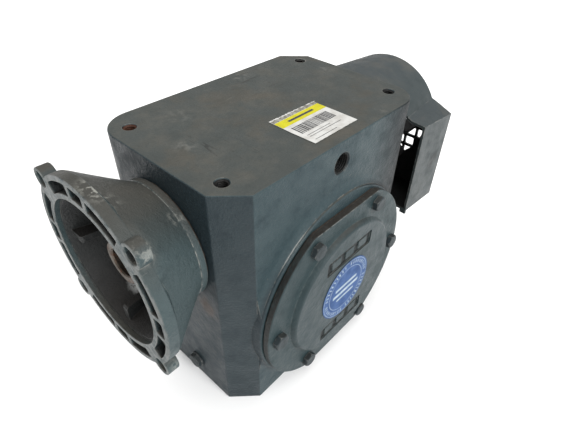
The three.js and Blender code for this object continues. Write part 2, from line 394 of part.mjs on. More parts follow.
// ---------------------------------------------------------------- closed cover (cover side) and bearing carrier (shaft side)
const rimFlats = s => [-1, 1].map(t => M(box(-60, 60, Math.min(s * (PAD_Y + 0.1), s * 120), Math.max(s * (PAD_Y + 0.1), s * 120), Math.min(ZO + t * COVER_FLAT, ZO + t * 120), Math.max(ZO + t * COVER_FLAT, ZO + t * 120))));
const boltHoles = (r, s, y0, y1, n = 8) => Array.from({ length: 6 }, (_, k) => { const [x, z] = polar(COVER_BC, 60 * k); return M(rod(r, Math.min(s * y0, s * y1), Math.max(s * y0, s * y1), ALONG_Y(x, ZO + z), n)); });
{
  const y0 = PAD_Y + 1.2, y1 = y0 + COVER_T, y2 = y1 + BOSS_T, s = -1, f = ALONG_Y(0, ZO);
  let c = M(lathe([[0, s * 85.6], [31, s * 85.6], [31, s * 82.2], [40, s * 82.2], [40, s * 62.5], [48, s * 62.5], [50, s * 74], [PILOT_R - GAP, s * 74], [PILOT_R - GAP, s * y0], [COVER_R, s * y0], [COVER_R, s * (y1 - 1.4)], [COVER_R - 1.4, s * y1], [BOSS_R1, s * y1], [BOSS_R2 + 1.4, s * (y2 - 0.9)], [BOSS_R2, s * y2], [0, s * y2]], f, 36));
  c = cut(c, ...boltHoles(4.9, s, y0 - 2, y1 + 2), ...rimFlats(s));
  // two plain sunk panels with a raised rib in each
  for (const dz of [42.6, -42.6]) {
    c = cut(c, M(box(-30.5, 30.5, -y2 - 1, -y2 + 1.6, ZO + dz - 7.6, ZO + dz + 7.6)));
    for (const k of [-1, 0, 1]) c = c.add(M(box(k * 18 - 6, k * 18 + 6, -y2 + 0.4, -y2 + 2.4, ZO + dz - 4.4, ZO + dz + 4.4)));
  }
  node('closed_cover', c, PAINT);
  node('closed_cover_gasket', cut(M(ring(PILOT_R + 1, COVER_R - 0.8, -(PAD_Y + 0.9), -(PAD_Y + GAP), f, 24)), ...boltHoles(4.9, s, PAD_Y - 2, PAD_Y + 3, 6), ...rimFlats(s)), GASKET);
  const b = hexBolt(BOLT_AF, HEAD_H, 3.9, 20, 0);
  for (let k = 0; k < 6; k++) { const [x, z] = polar(COVER_BC, 60 * k); node('closed_cover_bolt_' + (k + 1), place(b, mul(toPlusY(x, -y1 - GAP, ZO + z), RZ((k * 23 + 10) * Math.PI / 180))), DARK_BOLT); }
  node('cover_sticker', M(ring(0, 32.6, -y2 - 0.55, -y2 - GAP, f, 32)), BLUE);
}
{
  const y0 = PAD_Y + 1.2, y1 = y0 + COVER_T, f = ALONG_Y(0, ZO);
  let c = M(lathe([[33, 85.6], [33, 82.2], [40, 82.2], [40, 62.5], [48, 62.5], [50, 74], [PILOT_R - GAP, 74], [PILOT_R - GAP, y0], [COVER_R, y0], [COVER_R, y1 - 1.4], [COVER_R - 1.4, y1], [54, y1], [42, y1 + 7], [41, 98.5], [29, 98.5], [29, 88], [24, 88], [24, 85.6]], f, 36));
  c = cut(c, ...boltHoles(4.9, 1, y0 - 2, y1 + 2), ...rimFlats(1));
  node('output_cover', c, PAINT);
  node('output_cover_gasket', cut(M(ring(PILOT_R + 1, COVER_R - 0.8, PAD_Y + GAP, PAD_Y + 0.9, f, 24)), ...boltHoles(4.9, 1, PAD_Y - 2, PAD_Y + 3, 6), ...rimFlats(1)), GASKET);
  node('output_oil_seal', M(seal(20 + GAP, 29 - GAP, 88 + GAP, 97.5, f, -1)), RUBBER);
  const b = hexBolt(BOLT_AF, HEAD_H, 3.9, 20, 0);
  for (let k = 0; k < 6; k++) { const [x, z] = polar(COVER_BC, 60 * k); node('output_cover_bolt_' + (k + 1), place(b, mul(toMinusY(x, y1 + GAP, ZO + z), RZ((k * 17 + 5) * Math.PI / 180))), DARK_BOLT); }
}

// ---------------------------------------------------------------- fan and shroud
{
  const f = ALONG_X(0, ZW);
  let fan = M(lathe([[10 + GAP, 143], [17, 143], [17, 146], [40, 146], [40, 148.4], [18, 150], [16, 166], [10 + GAP, 166]], f, 20));
  for (let k = 0; k < 8; k++) {
    const blade = [[144.5, 15], [144.5, 14.2], [165.5, 14.2], [174, 28], [174, FAN_R], [147, FAN_R], [146.2, 39]];
    fan = fan.add(M(place(extrude(blade, 2.2, T(0, 0, -1.1)), mul(T(0, 0, ZW), RX((45 * k + 38) * Math.PI / 180)))));
  }
  node('cooling_fan', fan, PLASTIC);
  node('fan_snap_ring', M(ring(9.2, 13.6, 166.55, 167.85, f, 20)), STEEL);
}
{
  // half outline: crown arc, short shoulder, corner, foot. Same point count front and rear so the sheet can taper.
  const outline = (r, a0, shoulder, corner, foot, t) => {
    const top = arc(0, ZW, r - t, 90, a0, 7), pts = [...top, [shoulder[0] - t * 0.5, ZW + shoulder[1] - t], [corner[0] - t, ZW + corner[1] - t], [corner[0] - t, foot + t]];
    const left = pts.slice(1).map(p => [-p[0], p[1]]).reverse();
    return [...pts, ...left].reverse();
  };
  const front = t => outline(65.0, 27.8, [62.5, 28.3], [WING_Y - 0.3, 27.1], 92.6, t);
  const rear = t => outline(SHROUD_R, 30.5, [62.5, 27.6], [WING_Y, 21.6], 88.2, t);
  const taper = (t, x0, x1) => {
    const A = front(t), B = rear(t), g = alongX(A, x0, x1), p = g.attributes.position;
    for (let i = 0; i < p.count; i++) {
      let best = 0, bd = 1e9; const y = p.getY(i), z = p.getZ(i);
      A.forEach((q, k) => { const d = Math.hypot(q[0] - y, q[1] - z); if (d < bd) { bd = d; best = k; } });
      const w = (p.getX(i) - WING_X0) / (SHROUD_X1 - WING_X0);
      p.setXYZ(i, p.getX(i), A[best][0] + (B[best][0] - A[best][0]) * w, A[best][1] + (B[best][1] - A[best][1]) * w);
    }
    return M(g);
  };
  let s = cut(taper(0, WING_X0, SHROUD_X1), taper(SHEET, WING_X0 - 2, SHROUD_X1 - SHEET));
  // crown carried forward over the fan-end wall
  const crown = (r0, r1) => alongX([...arc(0, ZW, r1, 150, 30, 12), ...arc(0, ZW, r0, 30, 150, 12)], SHROUD_X0, WING_X0 + 1);
  s = s.add(M(crown(65.0 - SHEET, 65.0)));
  // four mounting feet turned in against the wall, the lower two on straps
  for (const sy of [-1, 1]) {
    const tab = [[26, 59], [46, 43], [41, 33], [27, 33], [19, 46]].map(p => [sy * p[0], ZW + p[1]]);
    s = s.add(M(alongX(sy > 0 ? tab.reverse() : tab, SHROUD_X0, SHROUD_X0 + SHEET)));
    s = s.add(M(box(SHROUD_X0, WING_X0 + 8, Math.min(sy * 34, sy * 54), Math.max(sy * 34, sy * 54), 92.4, 94.8)));
    s = s.add(M(box(SHROUD_X0, SHROUD_X0 + SHEET, Math.min(sy * 34, sy * 54), Math.max(sy * 34, sy * 54), 92.4, 107)));
    // turned-down lip at the foot of each wing
    s = s.add(M(box(WING_X0, WING_X0 + SHEET, Math.min(sy * 70, sy * (WING_Y - 0.3)), Math.max(sy * 70, sy * (WING_Y - 0.3)), 88.6, 94)));
  }
  for (const [y, z] of SHROUD_SCREWS) s = cut(s, M(rod(3.0, SHROUD_X0 - 1, SHROUD_X0 + 4, ALONG_X(y, z), 8)));
  // air grille: square mesh inside a round field
  const pitch = 12.2, hole = 9.6, field = 52.5;
  let mesh = null;
  for (let i = -5; i <= 5; i++) for (let j = -5; j <= 5; j++) {
    const cy = -2.3 + pitch * i, cz = ZW + pitch * j, near = Math.hypot(Math.max(0, Math.abs(cy) - hole / 2), Math.max(0, Math.abs(cz - ZW) - hole / 2));
    if (near > field - 4) continue;
    const h = hole / 2, q = [[h, h], [h, -h], [-h, -h], [-h, h]].reverse().map(p => [cy + p[0], cz + p[1]]);
    const c = M(alongX(q, SHROUD_X1 - 4, SHROUD_X1 + 2));
    mesh = mesh ? mesh.add(c) : c;
  }
  s = cut(s, mesh.intersect(M(rod(field, SHROUD_X1 - 5, SHROUD_X1 + 3, ALONG_X(0, ZW), 32))));
  node('fan_shroud', s, PAINT_SHEET);
  const screw = hexBolt(8, 3.2, 2.3, 10, 5.2);
  SHROUD_SCREWS.forEach(([y, z], k) => node('shroud_screw_' + (k + 1), place(screw, toMinusX(SHROUD_X0 + SHEET + GAP, y, z)), DARK_BOLT));
}

// ---------------------------------------------------------------- plugs and labels
const plug = hexBolt(16, 6.5, 8.4, 11, 9.8);
const lowPlug = hexBolt(12.7, 5.2, 6.2, 11, 8.0);
node('drain_plug', place(lowPlug, toPlusX(-HX - GAP, DRAIN_Y, DRAIN_Z)), DARK_BOLT);
node('level_plug', place(lowPlug, toMinusX(HX + GAP, 0, LEVEL_Z)), DARK_BOLT);
node('vent_plug', place(plug, toMinusY(0, HY + GAP, PIPE_Z)), DARK_BOLT);
node('top_label', M(extrude([[-18.6, -62.0], [-12, -62.6], [-9, -62.2], [32.2, -62.4], [32.4, -19.5], [34.6, -17.6], [28, -16.4], [17, -17.2], [6, -16.2], [-7, -16.8], [-15, -16.4], [-19.2, -19.0]], 0.3, T(0, 0, HZ + GAP))), PAPER);

export default group;
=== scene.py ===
# Looks of a right-angle worm gear reducer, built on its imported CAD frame.
# Shapes are drawn in millimetres in the part frame and scaled to metres at the end.
import json
import math
import random
import bpy
import bmesh
from mathutils import Matrix, Vector

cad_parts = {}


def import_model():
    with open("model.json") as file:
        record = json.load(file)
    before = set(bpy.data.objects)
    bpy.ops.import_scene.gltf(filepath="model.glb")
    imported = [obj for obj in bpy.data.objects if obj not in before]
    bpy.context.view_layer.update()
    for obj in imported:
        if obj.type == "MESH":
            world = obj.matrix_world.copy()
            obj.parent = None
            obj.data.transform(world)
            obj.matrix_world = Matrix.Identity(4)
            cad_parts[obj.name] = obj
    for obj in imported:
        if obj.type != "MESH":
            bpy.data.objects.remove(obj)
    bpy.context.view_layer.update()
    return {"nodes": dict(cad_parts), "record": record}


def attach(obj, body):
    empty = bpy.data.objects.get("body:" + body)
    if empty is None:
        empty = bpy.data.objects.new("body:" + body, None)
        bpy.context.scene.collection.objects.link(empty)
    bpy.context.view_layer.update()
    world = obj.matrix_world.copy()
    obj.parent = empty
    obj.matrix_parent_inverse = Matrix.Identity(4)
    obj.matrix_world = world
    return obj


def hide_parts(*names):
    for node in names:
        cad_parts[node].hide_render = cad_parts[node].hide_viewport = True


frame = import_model()
scene = bpy.context.scene
coll = scene.collection
rnd = random.Random(7)

# ------------------------------------------------------------------ driving dimensions (as in the CAD)
IN = 25.4
GAP = 0.3
HX, HY, HZ, CORNER, CORNER_R, WALL = 111.5, 74.4, 232.0, 20.3, 27.0, 12.0
ZW = 166.2
ZO = ZW - 76.2
MOUNT_X, MOUNT_Y, MOUNT_R = 95.25, 50.8, 4.6
PIPE_R, PIPE_Z = 8.9, HZ - 19.6
DRAIN_R, DRAIN_Y, DRAIN_Z, LEVEL_Z = 6.7, -13.4, 20.6, 52
FLANGE_X, REGISTER_R, BOLT_R = -164.3, 57.15, 74.61
FLANGE_R, RIM_IN, RIM_OUT, FLANGE_T, EAR_R, EAR_T = 73.6, 60.9, 69.6, 9.0, 8.6, 9.8
BASE_R, SCREW_R = 48.8, 36.8
PAD_R, PAD_Y, COVER_R, COVER_T, COVER_FLAT, COVER_BC = 94.0, 80.4, 93.0, 5.6, 83.0, 81.25
BOSS_R1, BOSS_R2, BOSS_T, PILOT_R, BOLT_AF, HEAD_H = 70.5, 65.5, 5.8, 66.0, 12.7, 5.0
QUILL_R, QUILL_BORE, QUILL_END = 17.5, 7 / 8 * IN / 2, FLANGE_X + 14.3
SHAFT_R, SHAFT_END = 17.4625, 168.0
FRONT_BRG_R, REAR_BRG_R, FAN_R = 31.0, 36.0, 53.0
SHROUD_X0, WING_X0, SHROUD_X1, SHROUD_R, WING_Y, SHEET = 111.8, 130.5, 187.8, 61.3, 77.0, 2.4
SHROUD_SCREWS = [(-33, ZW + 42), (33, ZW + 42), (-44, 100), (44, 100)]


# ------------------------------------------------------------------ mesh kit
def put(axis, a, u, v):
    """a along the axis, (u, v) across it."""
    return {"X": (a, u, v), "Y": (u, a, v), "Z": (u, v, a)}[axis]


def obj(name, verts, faces):
    me = bpy.data.meshes.new(name)
    me.from_pydata([tuple(v) for v in verts], [], faces)
    bm = bmesh.new()
    bm.from_mesh(me)
    bmesh.ops.remove_doubles(bm, verts=bm.verts, dist=1e-4)
    bmesh.ops.dissolve_degenerate(bm, edges=bm.edges, dist=1e-5)
    bmesh.ops.recalc_face_normals(bm, faces=bm.faces)
    if bm.calc_volume(signed=True) < 0:
        bmesh.ops.reverse_faces(bm, faces=bm.faces)
    bm.to_mesh(me)
    bm.free()
    o = bpy.data.objects.new(name, me)
    coll.objects.link(o)
    return o


def fil(pts, n=4, closed=True):
    """Corner rounding: a point may carry its own radius as a third number."""
    out, N = [], len(pts)
    for i, p in enumerate(pts):
        r = p[2] if len(p) > 2 else 0
        if r <= 0:
            out.append((p[0], p[1]))
            continue
        a, b, c = Vector(pts[i - 1][:2]), Vector(p[:2]), Vector(pts[(i + 1) % N][:2])
        u, v = (a - b), (c - b)
        lu, lv = u.length, v.length
        u, v = u / lu, v / lv
        ang = math.acos(max(-1, min(1, u.dot(v))))
        if ang > 3.1:
            out.append((p[0], p[1]))
            continue
        d = min(r / math.tan(ang / 2), lu * 0.48, lv * 0.48)
        rr = d * math.tan(ang / 2)
        cen = b + (u + v).normalized() * (rr / math.sin(ang / 2))
        p0, p1 = b + u * d - cen, b + v * d - cen
        a0, a1 = math.atan2(p0.y, p0.x), math.atan2(p1.y, p1.x)
        da = (a1 - a0 + math.pi) % (2 * math.pi) - math.pi
        for k in range(n + 1):
            t = a0 + da * k / n
            out.append((cen.x + rr * math.cos(t), cen.y + rr * math.sin(t)))
    return out


def lathe(profile, axis, c0, c1, seg=96, name="t"):
    """profile [(r, along)...] closed; points on the axis have r = 0."""
    P, n = list(profile), len(profile)
    verts, faces = [], []
    for k in range(seg):
        t = 2 * math.pi * k / seg
        for r, a in P:
            verts.append(put(axis, a, c0 + r * math.cos(t), c1 + r * math.sin(t)))
    for k in range(seg):
        k2 = (k + 1) % seg
        for i in range(n):
            j = (i + 1) % n
            if P[i][0] < 1e-6 and P[j][0] < 1e-6:
                continue
            f = [k * n + i, k * n + j, k2 * n + j, k2 * n + i]
            if P[i][0] < 1e-6:
                f = [k * n + i, k * n + j, k2 * n + j]
            elif P[j][0] < 1e-6:
                f = [k * n + i, k * n + j, k2 * n + i]
            faces.append(f)
    return obj(name, verts, faces)


def rod(r, a0, a1, axis, c0, c1, seg=40, ch=0.0):
    p = [(0, a0), (r - ch, a0), (r, a0 + ch), (r, a1 - ch), (r - ch, a1), (0, a1)] if ch else [(0, a0), (r, a0), (r, a1), (0, a1)]
    return lathe(p, axis, c0, c1, seg)


def ring(ri, ro, a0, a1, axis, c0, c1, seg=96, b=0.0):
    p = [(ri, a0), (ro, a0), (ro, a1), (ri, a1)]
    return lathe(fil([(x, y, b) for x, y in p], 3) if b else p, axis, c0, c1, seg)


def inset(pts, d):
    out, n = [], len(pts)
    area = sum(pts[i][0] * pts[(i + 1) % n][1] - pts[(i + 1) % n][0] * pts[i][1] for i in range(n))
    sg = 1 if area > 0 else -1
    for i in range(n):
        a, b, c = Vector(pts[i - 1]), Vector(pts[i]), Vector(pts[(i + 1) % n])
        e1, e2 = (b - a).normalized(), (c - b).normalized()
        n1, n2 = Vector((-e1.y, e1.x)) * sg, Vector((-e2.y, e2.x)) * sg
        m = (n1 + n2)
        m = m / max(0.35, m.dot(n1)) if m.length > 1e-6 else n1
        out.append((b.x + m.x * d, b.y + m.y * d))
    return out


def prism(outline, a0, a1, axis, r0=0.0, r1=0.0, n=3, name="t"):
    """Outline across the axis pushed from a0 to a1; r0 and r1 round its end edges."""
    rings = []
    if r0:
        for k in range(n + 1):
            t = math.pi / 2 * k / n
            rings.append((a0 + r0 * (1 - math.sin(t)), r0 * (1 - math.cos(t))))
        rings.reverse()
        rings = [(a0 + r0 * (1 - math.sin(math.pi / 2 * k / n)), r0 * (1 - math.cos(math.pi / 2 * k / n))) for k in range(n, -1, -1)]
        rings = sorted(rings, key=lambda q: q[0])
    else:
        rings = [(a0, 0)]
    if r1:
        rings += [(a1 - r1 * (1 - math.sin(math.pi / 2 * k / n)), r1 * (1 - math.cos(math.pi / 2 * k / n))) for k in range(0, n + 1)]
    else:
        rings.append((a1, 0))
    verts, faces, m = [], [], len(outline)
    for a, d in rings:
        pts = inset(outline, d) if d > 1e-6 else outline
        verts += [put(axis, a, p[0], p[1]) for p in pts]
    for k in range(len(rings) - 1):
        for i in range(m):
            j = (i + 1) % m
            faces.append([k * m + i, k * m + j, (k + 1) * m + j, (k + 1) * m + i])
    faces.append(list(range(m))[::-1])
    faces.append([(len(rings) - 1) * m + i for i in range(m)])
    return obj(name, verts, faces)


def loft(rings, name="t"):
    """Rings of equal point count, capped at both ends."""
    m, verts, faces = len(rings[0]), [], []
    for r in rings:
        verts += r
    for k in range(len(rings) - 1):
        for i in range(m):
            j = (i + 1) % m
            faces.append([k * m + i, k * m + j, (k + 1) * m + j, (k + 1) * m + i])
    faces.append(list(range(m))[::-1])
    faces.append([(len(rings) - 1) * m + i for i in range(m)])
    return obj(name, verts, faces)


def box(x0, x1, y0, y1, z0, z1, b=0.0):
    return prism(fil([(x0, y0, b), (x1, y0, b), (x1, y1, b), (x0, y1, b)], 3) if b else [(x0, y0), (x1, y0), (x1, y1), (x0, y1)], z0, z1, "Z", b, b)


def arc(cx, cy, r, a0, a1, n):
    return [(cx + r * math.cos(math.radians(a0 + (a1 - a0) * i / n)), cy + r * math.sin(math.radians(a0 + (a1 - a0) * i / n))) for i in range(n + 1)]


def polar(r, deg):
    return r * math.cos(math.radians(deg)), r * math.sin(math.radians(deg))


def turn(o, mx):
    o.data.transform(mx)
    return o


def boolean(a, op, *others):
    for b in others:
        m = a.modifiers.new("b", "BOOLEAN")
        m.operation = op
        m.object = b
        m.solver = "MANIFOLD"
    dg = bpy.context.evaluated_depsgraph_get()
    me = bpy.data.meshes.new_from_object(a.evaluated_get(dg))
    a.modifiers.clear()
    old = a.data
    a.data = me
    bpy.data.meshes.remove(old)
    for b in others:
        d = b.data
        bpy.data.objects.remove(b)
        bpy.data.meshes.remove(d)
    return a


def cut(a, *o):
    return boolean(a, "DIFFERENCE", *o)


def add(a, *o):
    return boolean(a, "UNION", *o)


def both(a, b):
    return boolean(a, "INTERSECT", b)


def finish_piece(o, name, mat, slot, body, *nodes, sharp=33.0):
    """Metres, smooth shading with real creases, then its place in the frame."""
    o.name = name
    o.data.name = name
    o.data.transform(Matrix.Scale(0.001, 4))
    bm = bmesh.new()
    bm.from_mesh(o.data)
    bmesh.ops.remove_doubles(bm, verts=bm.verts, dist=2e-6)
    bmesh.ops.dissolve_limit(bm, angle_limit=0.002, verts=bm.verts, edges=bm.edges)
    bm.to_mesh(o.data)
    bm.free()
    o.data.shade_smooth()
    o.data.set_sharp_from_angle(angle=math.radians(sharp))
    w = o.modifiers.new("wn", "WEIGHTED_NORMAL")
    w.keep_sharp = True
    w.weight = 60
    o.data.materials.clear()
    o.data.materials.append(mat)
    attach(o, body)
    if nodes:
        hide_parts(*nodes)
    return o


# ------------------------------------------------------------------ materials
def node(t, kind, ins=None, **props):
    n = t.nodes.new(kind)
    for k, v in props.items():
        setattr(n, k, v)
    for k, v in (ins or {}).items():
        s = n.inputs[k]
        if isinstance(v, bpy.types.NodeSocket):
            t.links.new(v, s)
        else:
            s.default_value = v
    return n


def shade(c, k):
    return (c[0] * k, c[1] * k, c[2] * k, 1.0)


def srgb(r, g, b):
    f = lambda c: (c / 255) / 12.92 if c / 255 <= 0.04045 else ((c / 255 + 0.055) / 1.055) ** 2.4
    return (f(r), f(g), f(b), 1.0)


class Mat:
    def __init__(self, name):
        self.m = bpy.data.materials.new(name)
        self.m.use_nodes = True
        self.t = self.m.node_tree
        self.t.nodes.clear()
        self.co = node(self.t, "ShaderNodeTexCoord").outputs["Object"]
        self.geo = node(self.t, "ShaderNodeNewGeometry")
        self.out = node(self.t, "ShaderNodeOutputMaterial")

    def noise(self, scale, detail=5.0, rough=0.55, stretch=None, dist=0.0, off=0.0):
        v = self.co
        if stretch or off:
            v = node(self.t, "ShaderNodeMapping", {"Vector": v, "Scale": stretch or (1, 1, 1), "Location": (off, off * 0.7, -off)}).outputs[0]
        return node(self.t, "ShaderNodeTexNoise", {"Vector": v, "Scale": scale, "Detail": detail, "Roughness": rough, "Distortion": dist}).outputs["Fac"]

    def ramp(self, fac, lo, hi, a=0.0, b=1.0):
        return node(self.t, "ShaderNodeMapRange", {"Value": fac, "From Min": lo, "From Max": hi, "To Min": a, "To Max": b}, interpolation_type="SMOOTHSTEP").outputs["Result"]

    def mix(self, fac, a, b, blend="MIX"):
        n = node(self.t, "ShaderNodeMix", None, data_type="RGBA", blend_type=blend)
        for i, v in ((0, fac), (6, a), (7, b)):
            if isinstance(v, bpy.types.NodeSocket):
                self.t.links.new(v, n.inputs[i])
            else:
                n.inputs[i].default_value = v
        return n.outputs[2]

    def math(self, op, a, b=0.5):
        n = node(self.t, "ShaderNodeMath", None, operation=op)
        for i, v in ((0, a), (1, b)):
            if isinstance(v, bpy.types.NodeSocket):
                self.t.links.new(v, n.inputs[i])
            else:
                n.inputs[i].default_value = v
        return n.outputs[0]

    def mul(self, *v):
        r = v[0]
        for x in v[1:]:
            r = self.math("MULTIPLY", r, x)
        return r

    def axis(self, which):
        s = node(self.t, "ShaderNodeSeparateXYZ", {"Vector": self.co})
        return s.outputs[which]

    def off_axis(self, y, z):
        """Distance from a line along X through (y, z) mm."""
        v = node(self.t, "ShaderNodeVectorMath", {0: self.co, 1: (0, y * 0.001, z * 0.001)}, operation="SUBTRACT").outputs[0]
        v = node(self.t, "ShaderNodeVectorMath", {0: v, 1: (0, 1, 1)}, operation="MULTIPLY").outputs[0]
        return node(self.t, "ShaderNodeVectorMath", {0: v}, operation="LENGTH").outputs["Value"]

    def normal_axis(self, which):
        s = node(self.t, "ShaderNodeSeparateXYZ", {"Vector": self.geo.outputs["Normal"]})
        return s.outputs[which]

    def near(self, centre, r0, r1, noise=None, stretch=(1, 1, 1)):
        """1 inside r0 of the point (mm), 0 outside r1."""
        v = node(self.t, "ShaderNodeVectorMath", {0: self.co, 1: tuple(c * 0.001 for c in centre)}, operation="SUBTRACT").outputs[0]
        v = node(self.t, "ShaderNodeVectorMath", {0: v, 1: stretch}, operation="MULTIPLY").outputs[0]
        d = node(self.t, "ShaderNodeVectorMath", {0: v}, operation="LENGTH").outputs["Value"]
        if noise is not None:
            d = self.math("ADD", d, self.ramp(noise, 0, 1, -0.5 * (r1 - r0) * 0.001, 0.5 * (r1 - r0) * 0.001))
        return self.ramp(d, r0 * 0.001, r1 * 0.001, 1, 0)

    def band(self, which, a, b, soft=1.0, noise=None):
        """1 between a and b (mm) along an axis."""
        x = self.axis(which)
        if noise is not None:
            x = self.math("ADD", x, self.ramp(noise, 0.2, 0.8, -0.0015, 0.0015))
        return self.mul(self.ramp(x, (a - soft) * 0.001, (a + soft) * 0.001), self.ramp(x, (b - soft) * 0.001, (b + soft) * 0.001, 1, 0))

    def edge(self, radius=0.0012):
        """Worn edges: where a rounded normal leaves the true one."""
        bev = node(self.t, "ShaderNodeBevel", {"Radius": radius}, samples=6).outputs[0]
        d = node(self.t, "ShaderNodeVectorMath", {0: bev, 1: self.geo.outputs["Normal"]}, operation="DOT_PRODUCT").outputs["Value"]
        return self.ramp(d, 0.995, 0.86)

    def surface(self, color, rough, metal=0.0, bumps=(), bevel=0.0005, spec=0.5, coat=0.0):
        n = None
        if bevel:
            n = node(self.t, "ShaderNodeBevel", {"Radius": bevel}, samples=4).outputs[0]
        for h, strength, dist in bumps:
            ins = {"Height": h, "Strength": strength, "Distance": dist}
            if n is not None:
                ins["Normal"] = n
            n = node(self.t, "ShaderNodeBump", ins).outputs[0]
        ins = {"Base Color": color, "Roughness": rough, "Metallic": metal, "Specular IOR Level": spec, "Coat Weight": coat, "Coat Roughness": 0.25}
        if n is not None:
            ins["Normal"] = n
        p = node(self.t, "ShaderNodeBsdfPrincipled", ins)
        self.t.links.new(p.outputs[0], self.out.inputs[0])
        return self.m


def paint(name, base, dark, light, top, worn, cast=1.0, regions=None, gloss=0.42, edgew=1.0):
    """Semi-gloss slate paint over cast iron: mottled tone, cast grain, chipped edges, scratches, dust."""
    base, dark, light, top, worn = (shade(x, PK) for x in (base, dark, light, top, worn))
    m = Mat(name)
    big = m.noise(14, 4, 0.55)
    mid = m.noise(70, 5, 0.6, off=3.1)
    fine = m.noise(520, 4, 0.6)
    grain = m.noise(1500, 2, 0.5)
    c = m.mix(m.mul(m.ramp(big, 0.35, 0.7), 0.45), base, light)
    c = m.mix(m.mul(m.ramp(mid, 0.50, 0.74), 0.5), c, dark)
    smear = m.ramp(m.noise(34, 7, 0.68, stretch=(1.0, 1.0, 2.6), dist=0.9, off=8.2), 0.50, 0.68)
    c = m.mix(m.mul(smear, 0.32), c, dark)
    c = m.mix(m.mul(m.ramp(fine, 0.48, 0.78), 0.42), c, light)
    c = m.mix(m.mul(m.ramp(grain, 0.5, 0.75), 0.22), c, dark)
    up = m.ramp(m.normal_axis(2), 0.72, 0.97)
    c = m.mix(m.mul(up, 0.85), c, top)
    dusty = m.ramp(m.noise(38, 6, 0.65, off=7.7), 0.42, 0.72)
    c = m.mix(m.mul(up, dusty, 0.34), c, shade(srgb(134, 128, 116), PK * 1.15))
    # faint handling streaks
    st = m.ramp(m.noise(26, 6, 0.6, stretch=(1.0, 9.0, 1.0), dist=0.6), 0.60, 0.74)
    c = m.mix(m.mul(st, 0.16), c, light)
    # fine scratches in two directions
    s1 = m.ramp(m.noise(60, 2, 0.5, stretch=(0.5, 14.0, 14.0), dist=1.2, off=2.0), 0.735, 0.76)
    s2 = m.ramp(m.noise(60, 2, 0.5, stretch=(14.0, 0.8, 10.0), dist=1.0, off=5.0), 0.745, 0.77)
    patch = m.ramp(m.noise(16, 3, 0.5, off=9.0), 0.5, 0.62)
    scr = m.mul(m.math("MAXIMUM", s1, s2), patch)
    c = m.mix(m.mul(scr, 0.6), c, worn)
    e = m.mul(m.edge(0.0013), m.ramp(m.noise(180, 4, 0.7, off=1.3), 0.40, 0.60), edgew)
    c = m.mix(e, c, worn)
    if regions:
        c = regions(m, c)
    rough = m.ramp(mid, 0.3, 0.75, gloss - 0.06, gloss + 0.16)
    rough = m.math("ADD", rough, m.mul(up, 0.12))
    return m.surface(c, rough, 0.0, ((m.noise(240, 5, 0.6), 0.5 * cast, 0.0014), (fine, 0.6 * cast, 0.0010), (grain, 0.4 * cast, 0.0004)), 0.0006, 0.22, 0.0)


def metal(name, base, dark, rust, amount=0.2, rough=0.32, along=(1, 1, 1)):
    m = Mat(name)
    c = m.mix(m.ramp(m.noise(60, 5, 0.6), 0.35, 0.7), base, dark)
    lines = m.noise(900, 3, 0.6, stretch=along)
    c = m.mix(m.mul(m.ramp(lines, 0.45, 0.7), 0.35), c, dark)
    rustm = m.ramp(m.noise(130, 6, 0.7, off=4.0), 0.60 - 0.25 * amount, 0.70 - 0.1 * amount)
    c = m.mix(m.mul(rustm, min(1.0, amount * 2.2)), c, rust)
    rg = m.math("ADD", m.ramp(lines, 0.3, 0.7, rough - 0.06, rough + 0.12), m.mul(rustm, 0.3 * amount * 2))
    mt = m.ramp(rustm, 0, 1, 0.85, 0.35)
    return m.surface(c, rg, mt, ((lines, 0.25, 0.0002), (m.noise(300, 4), 0.15, 0.0004)), 0.0004)


def plain(name, base, alt, rough, scale=120, bump=0.25, spec=0.4, metal_=0.0):
    m = Mat(name)
    n1 = m.noise(scale, 6, 0.62)
    n2 = m.noise(scale * 7, 3, 0.5, off=1.7)
    c = m.mix(m.ramp(n1, 0.36, 0.7), base, alt)
    c = m.mix(m.mul(m.ramp(n2, 0.55, 0.8), 0.4), c, alt)
    return m.surface(c, m.ramp(n1, 0.3, 0.7, rough - 0.07, rough + 0.1), metal_, ((n2, bump, 0.0003), (n1, bump * 0.6, 0.0006)), 0.0004, spec)


PK = 0.385                                   # paint reflectance against the tones noted below
BASE = srgb(76, 98, 104)
DARK = srgb(48, 68, 77)
LIGHT = srgb(98, 119, 123)
TOPC = srgb(101, 105, 101)
WORN = srgb(208, 202, 190)
RUST = srgb(112, 74, 46)


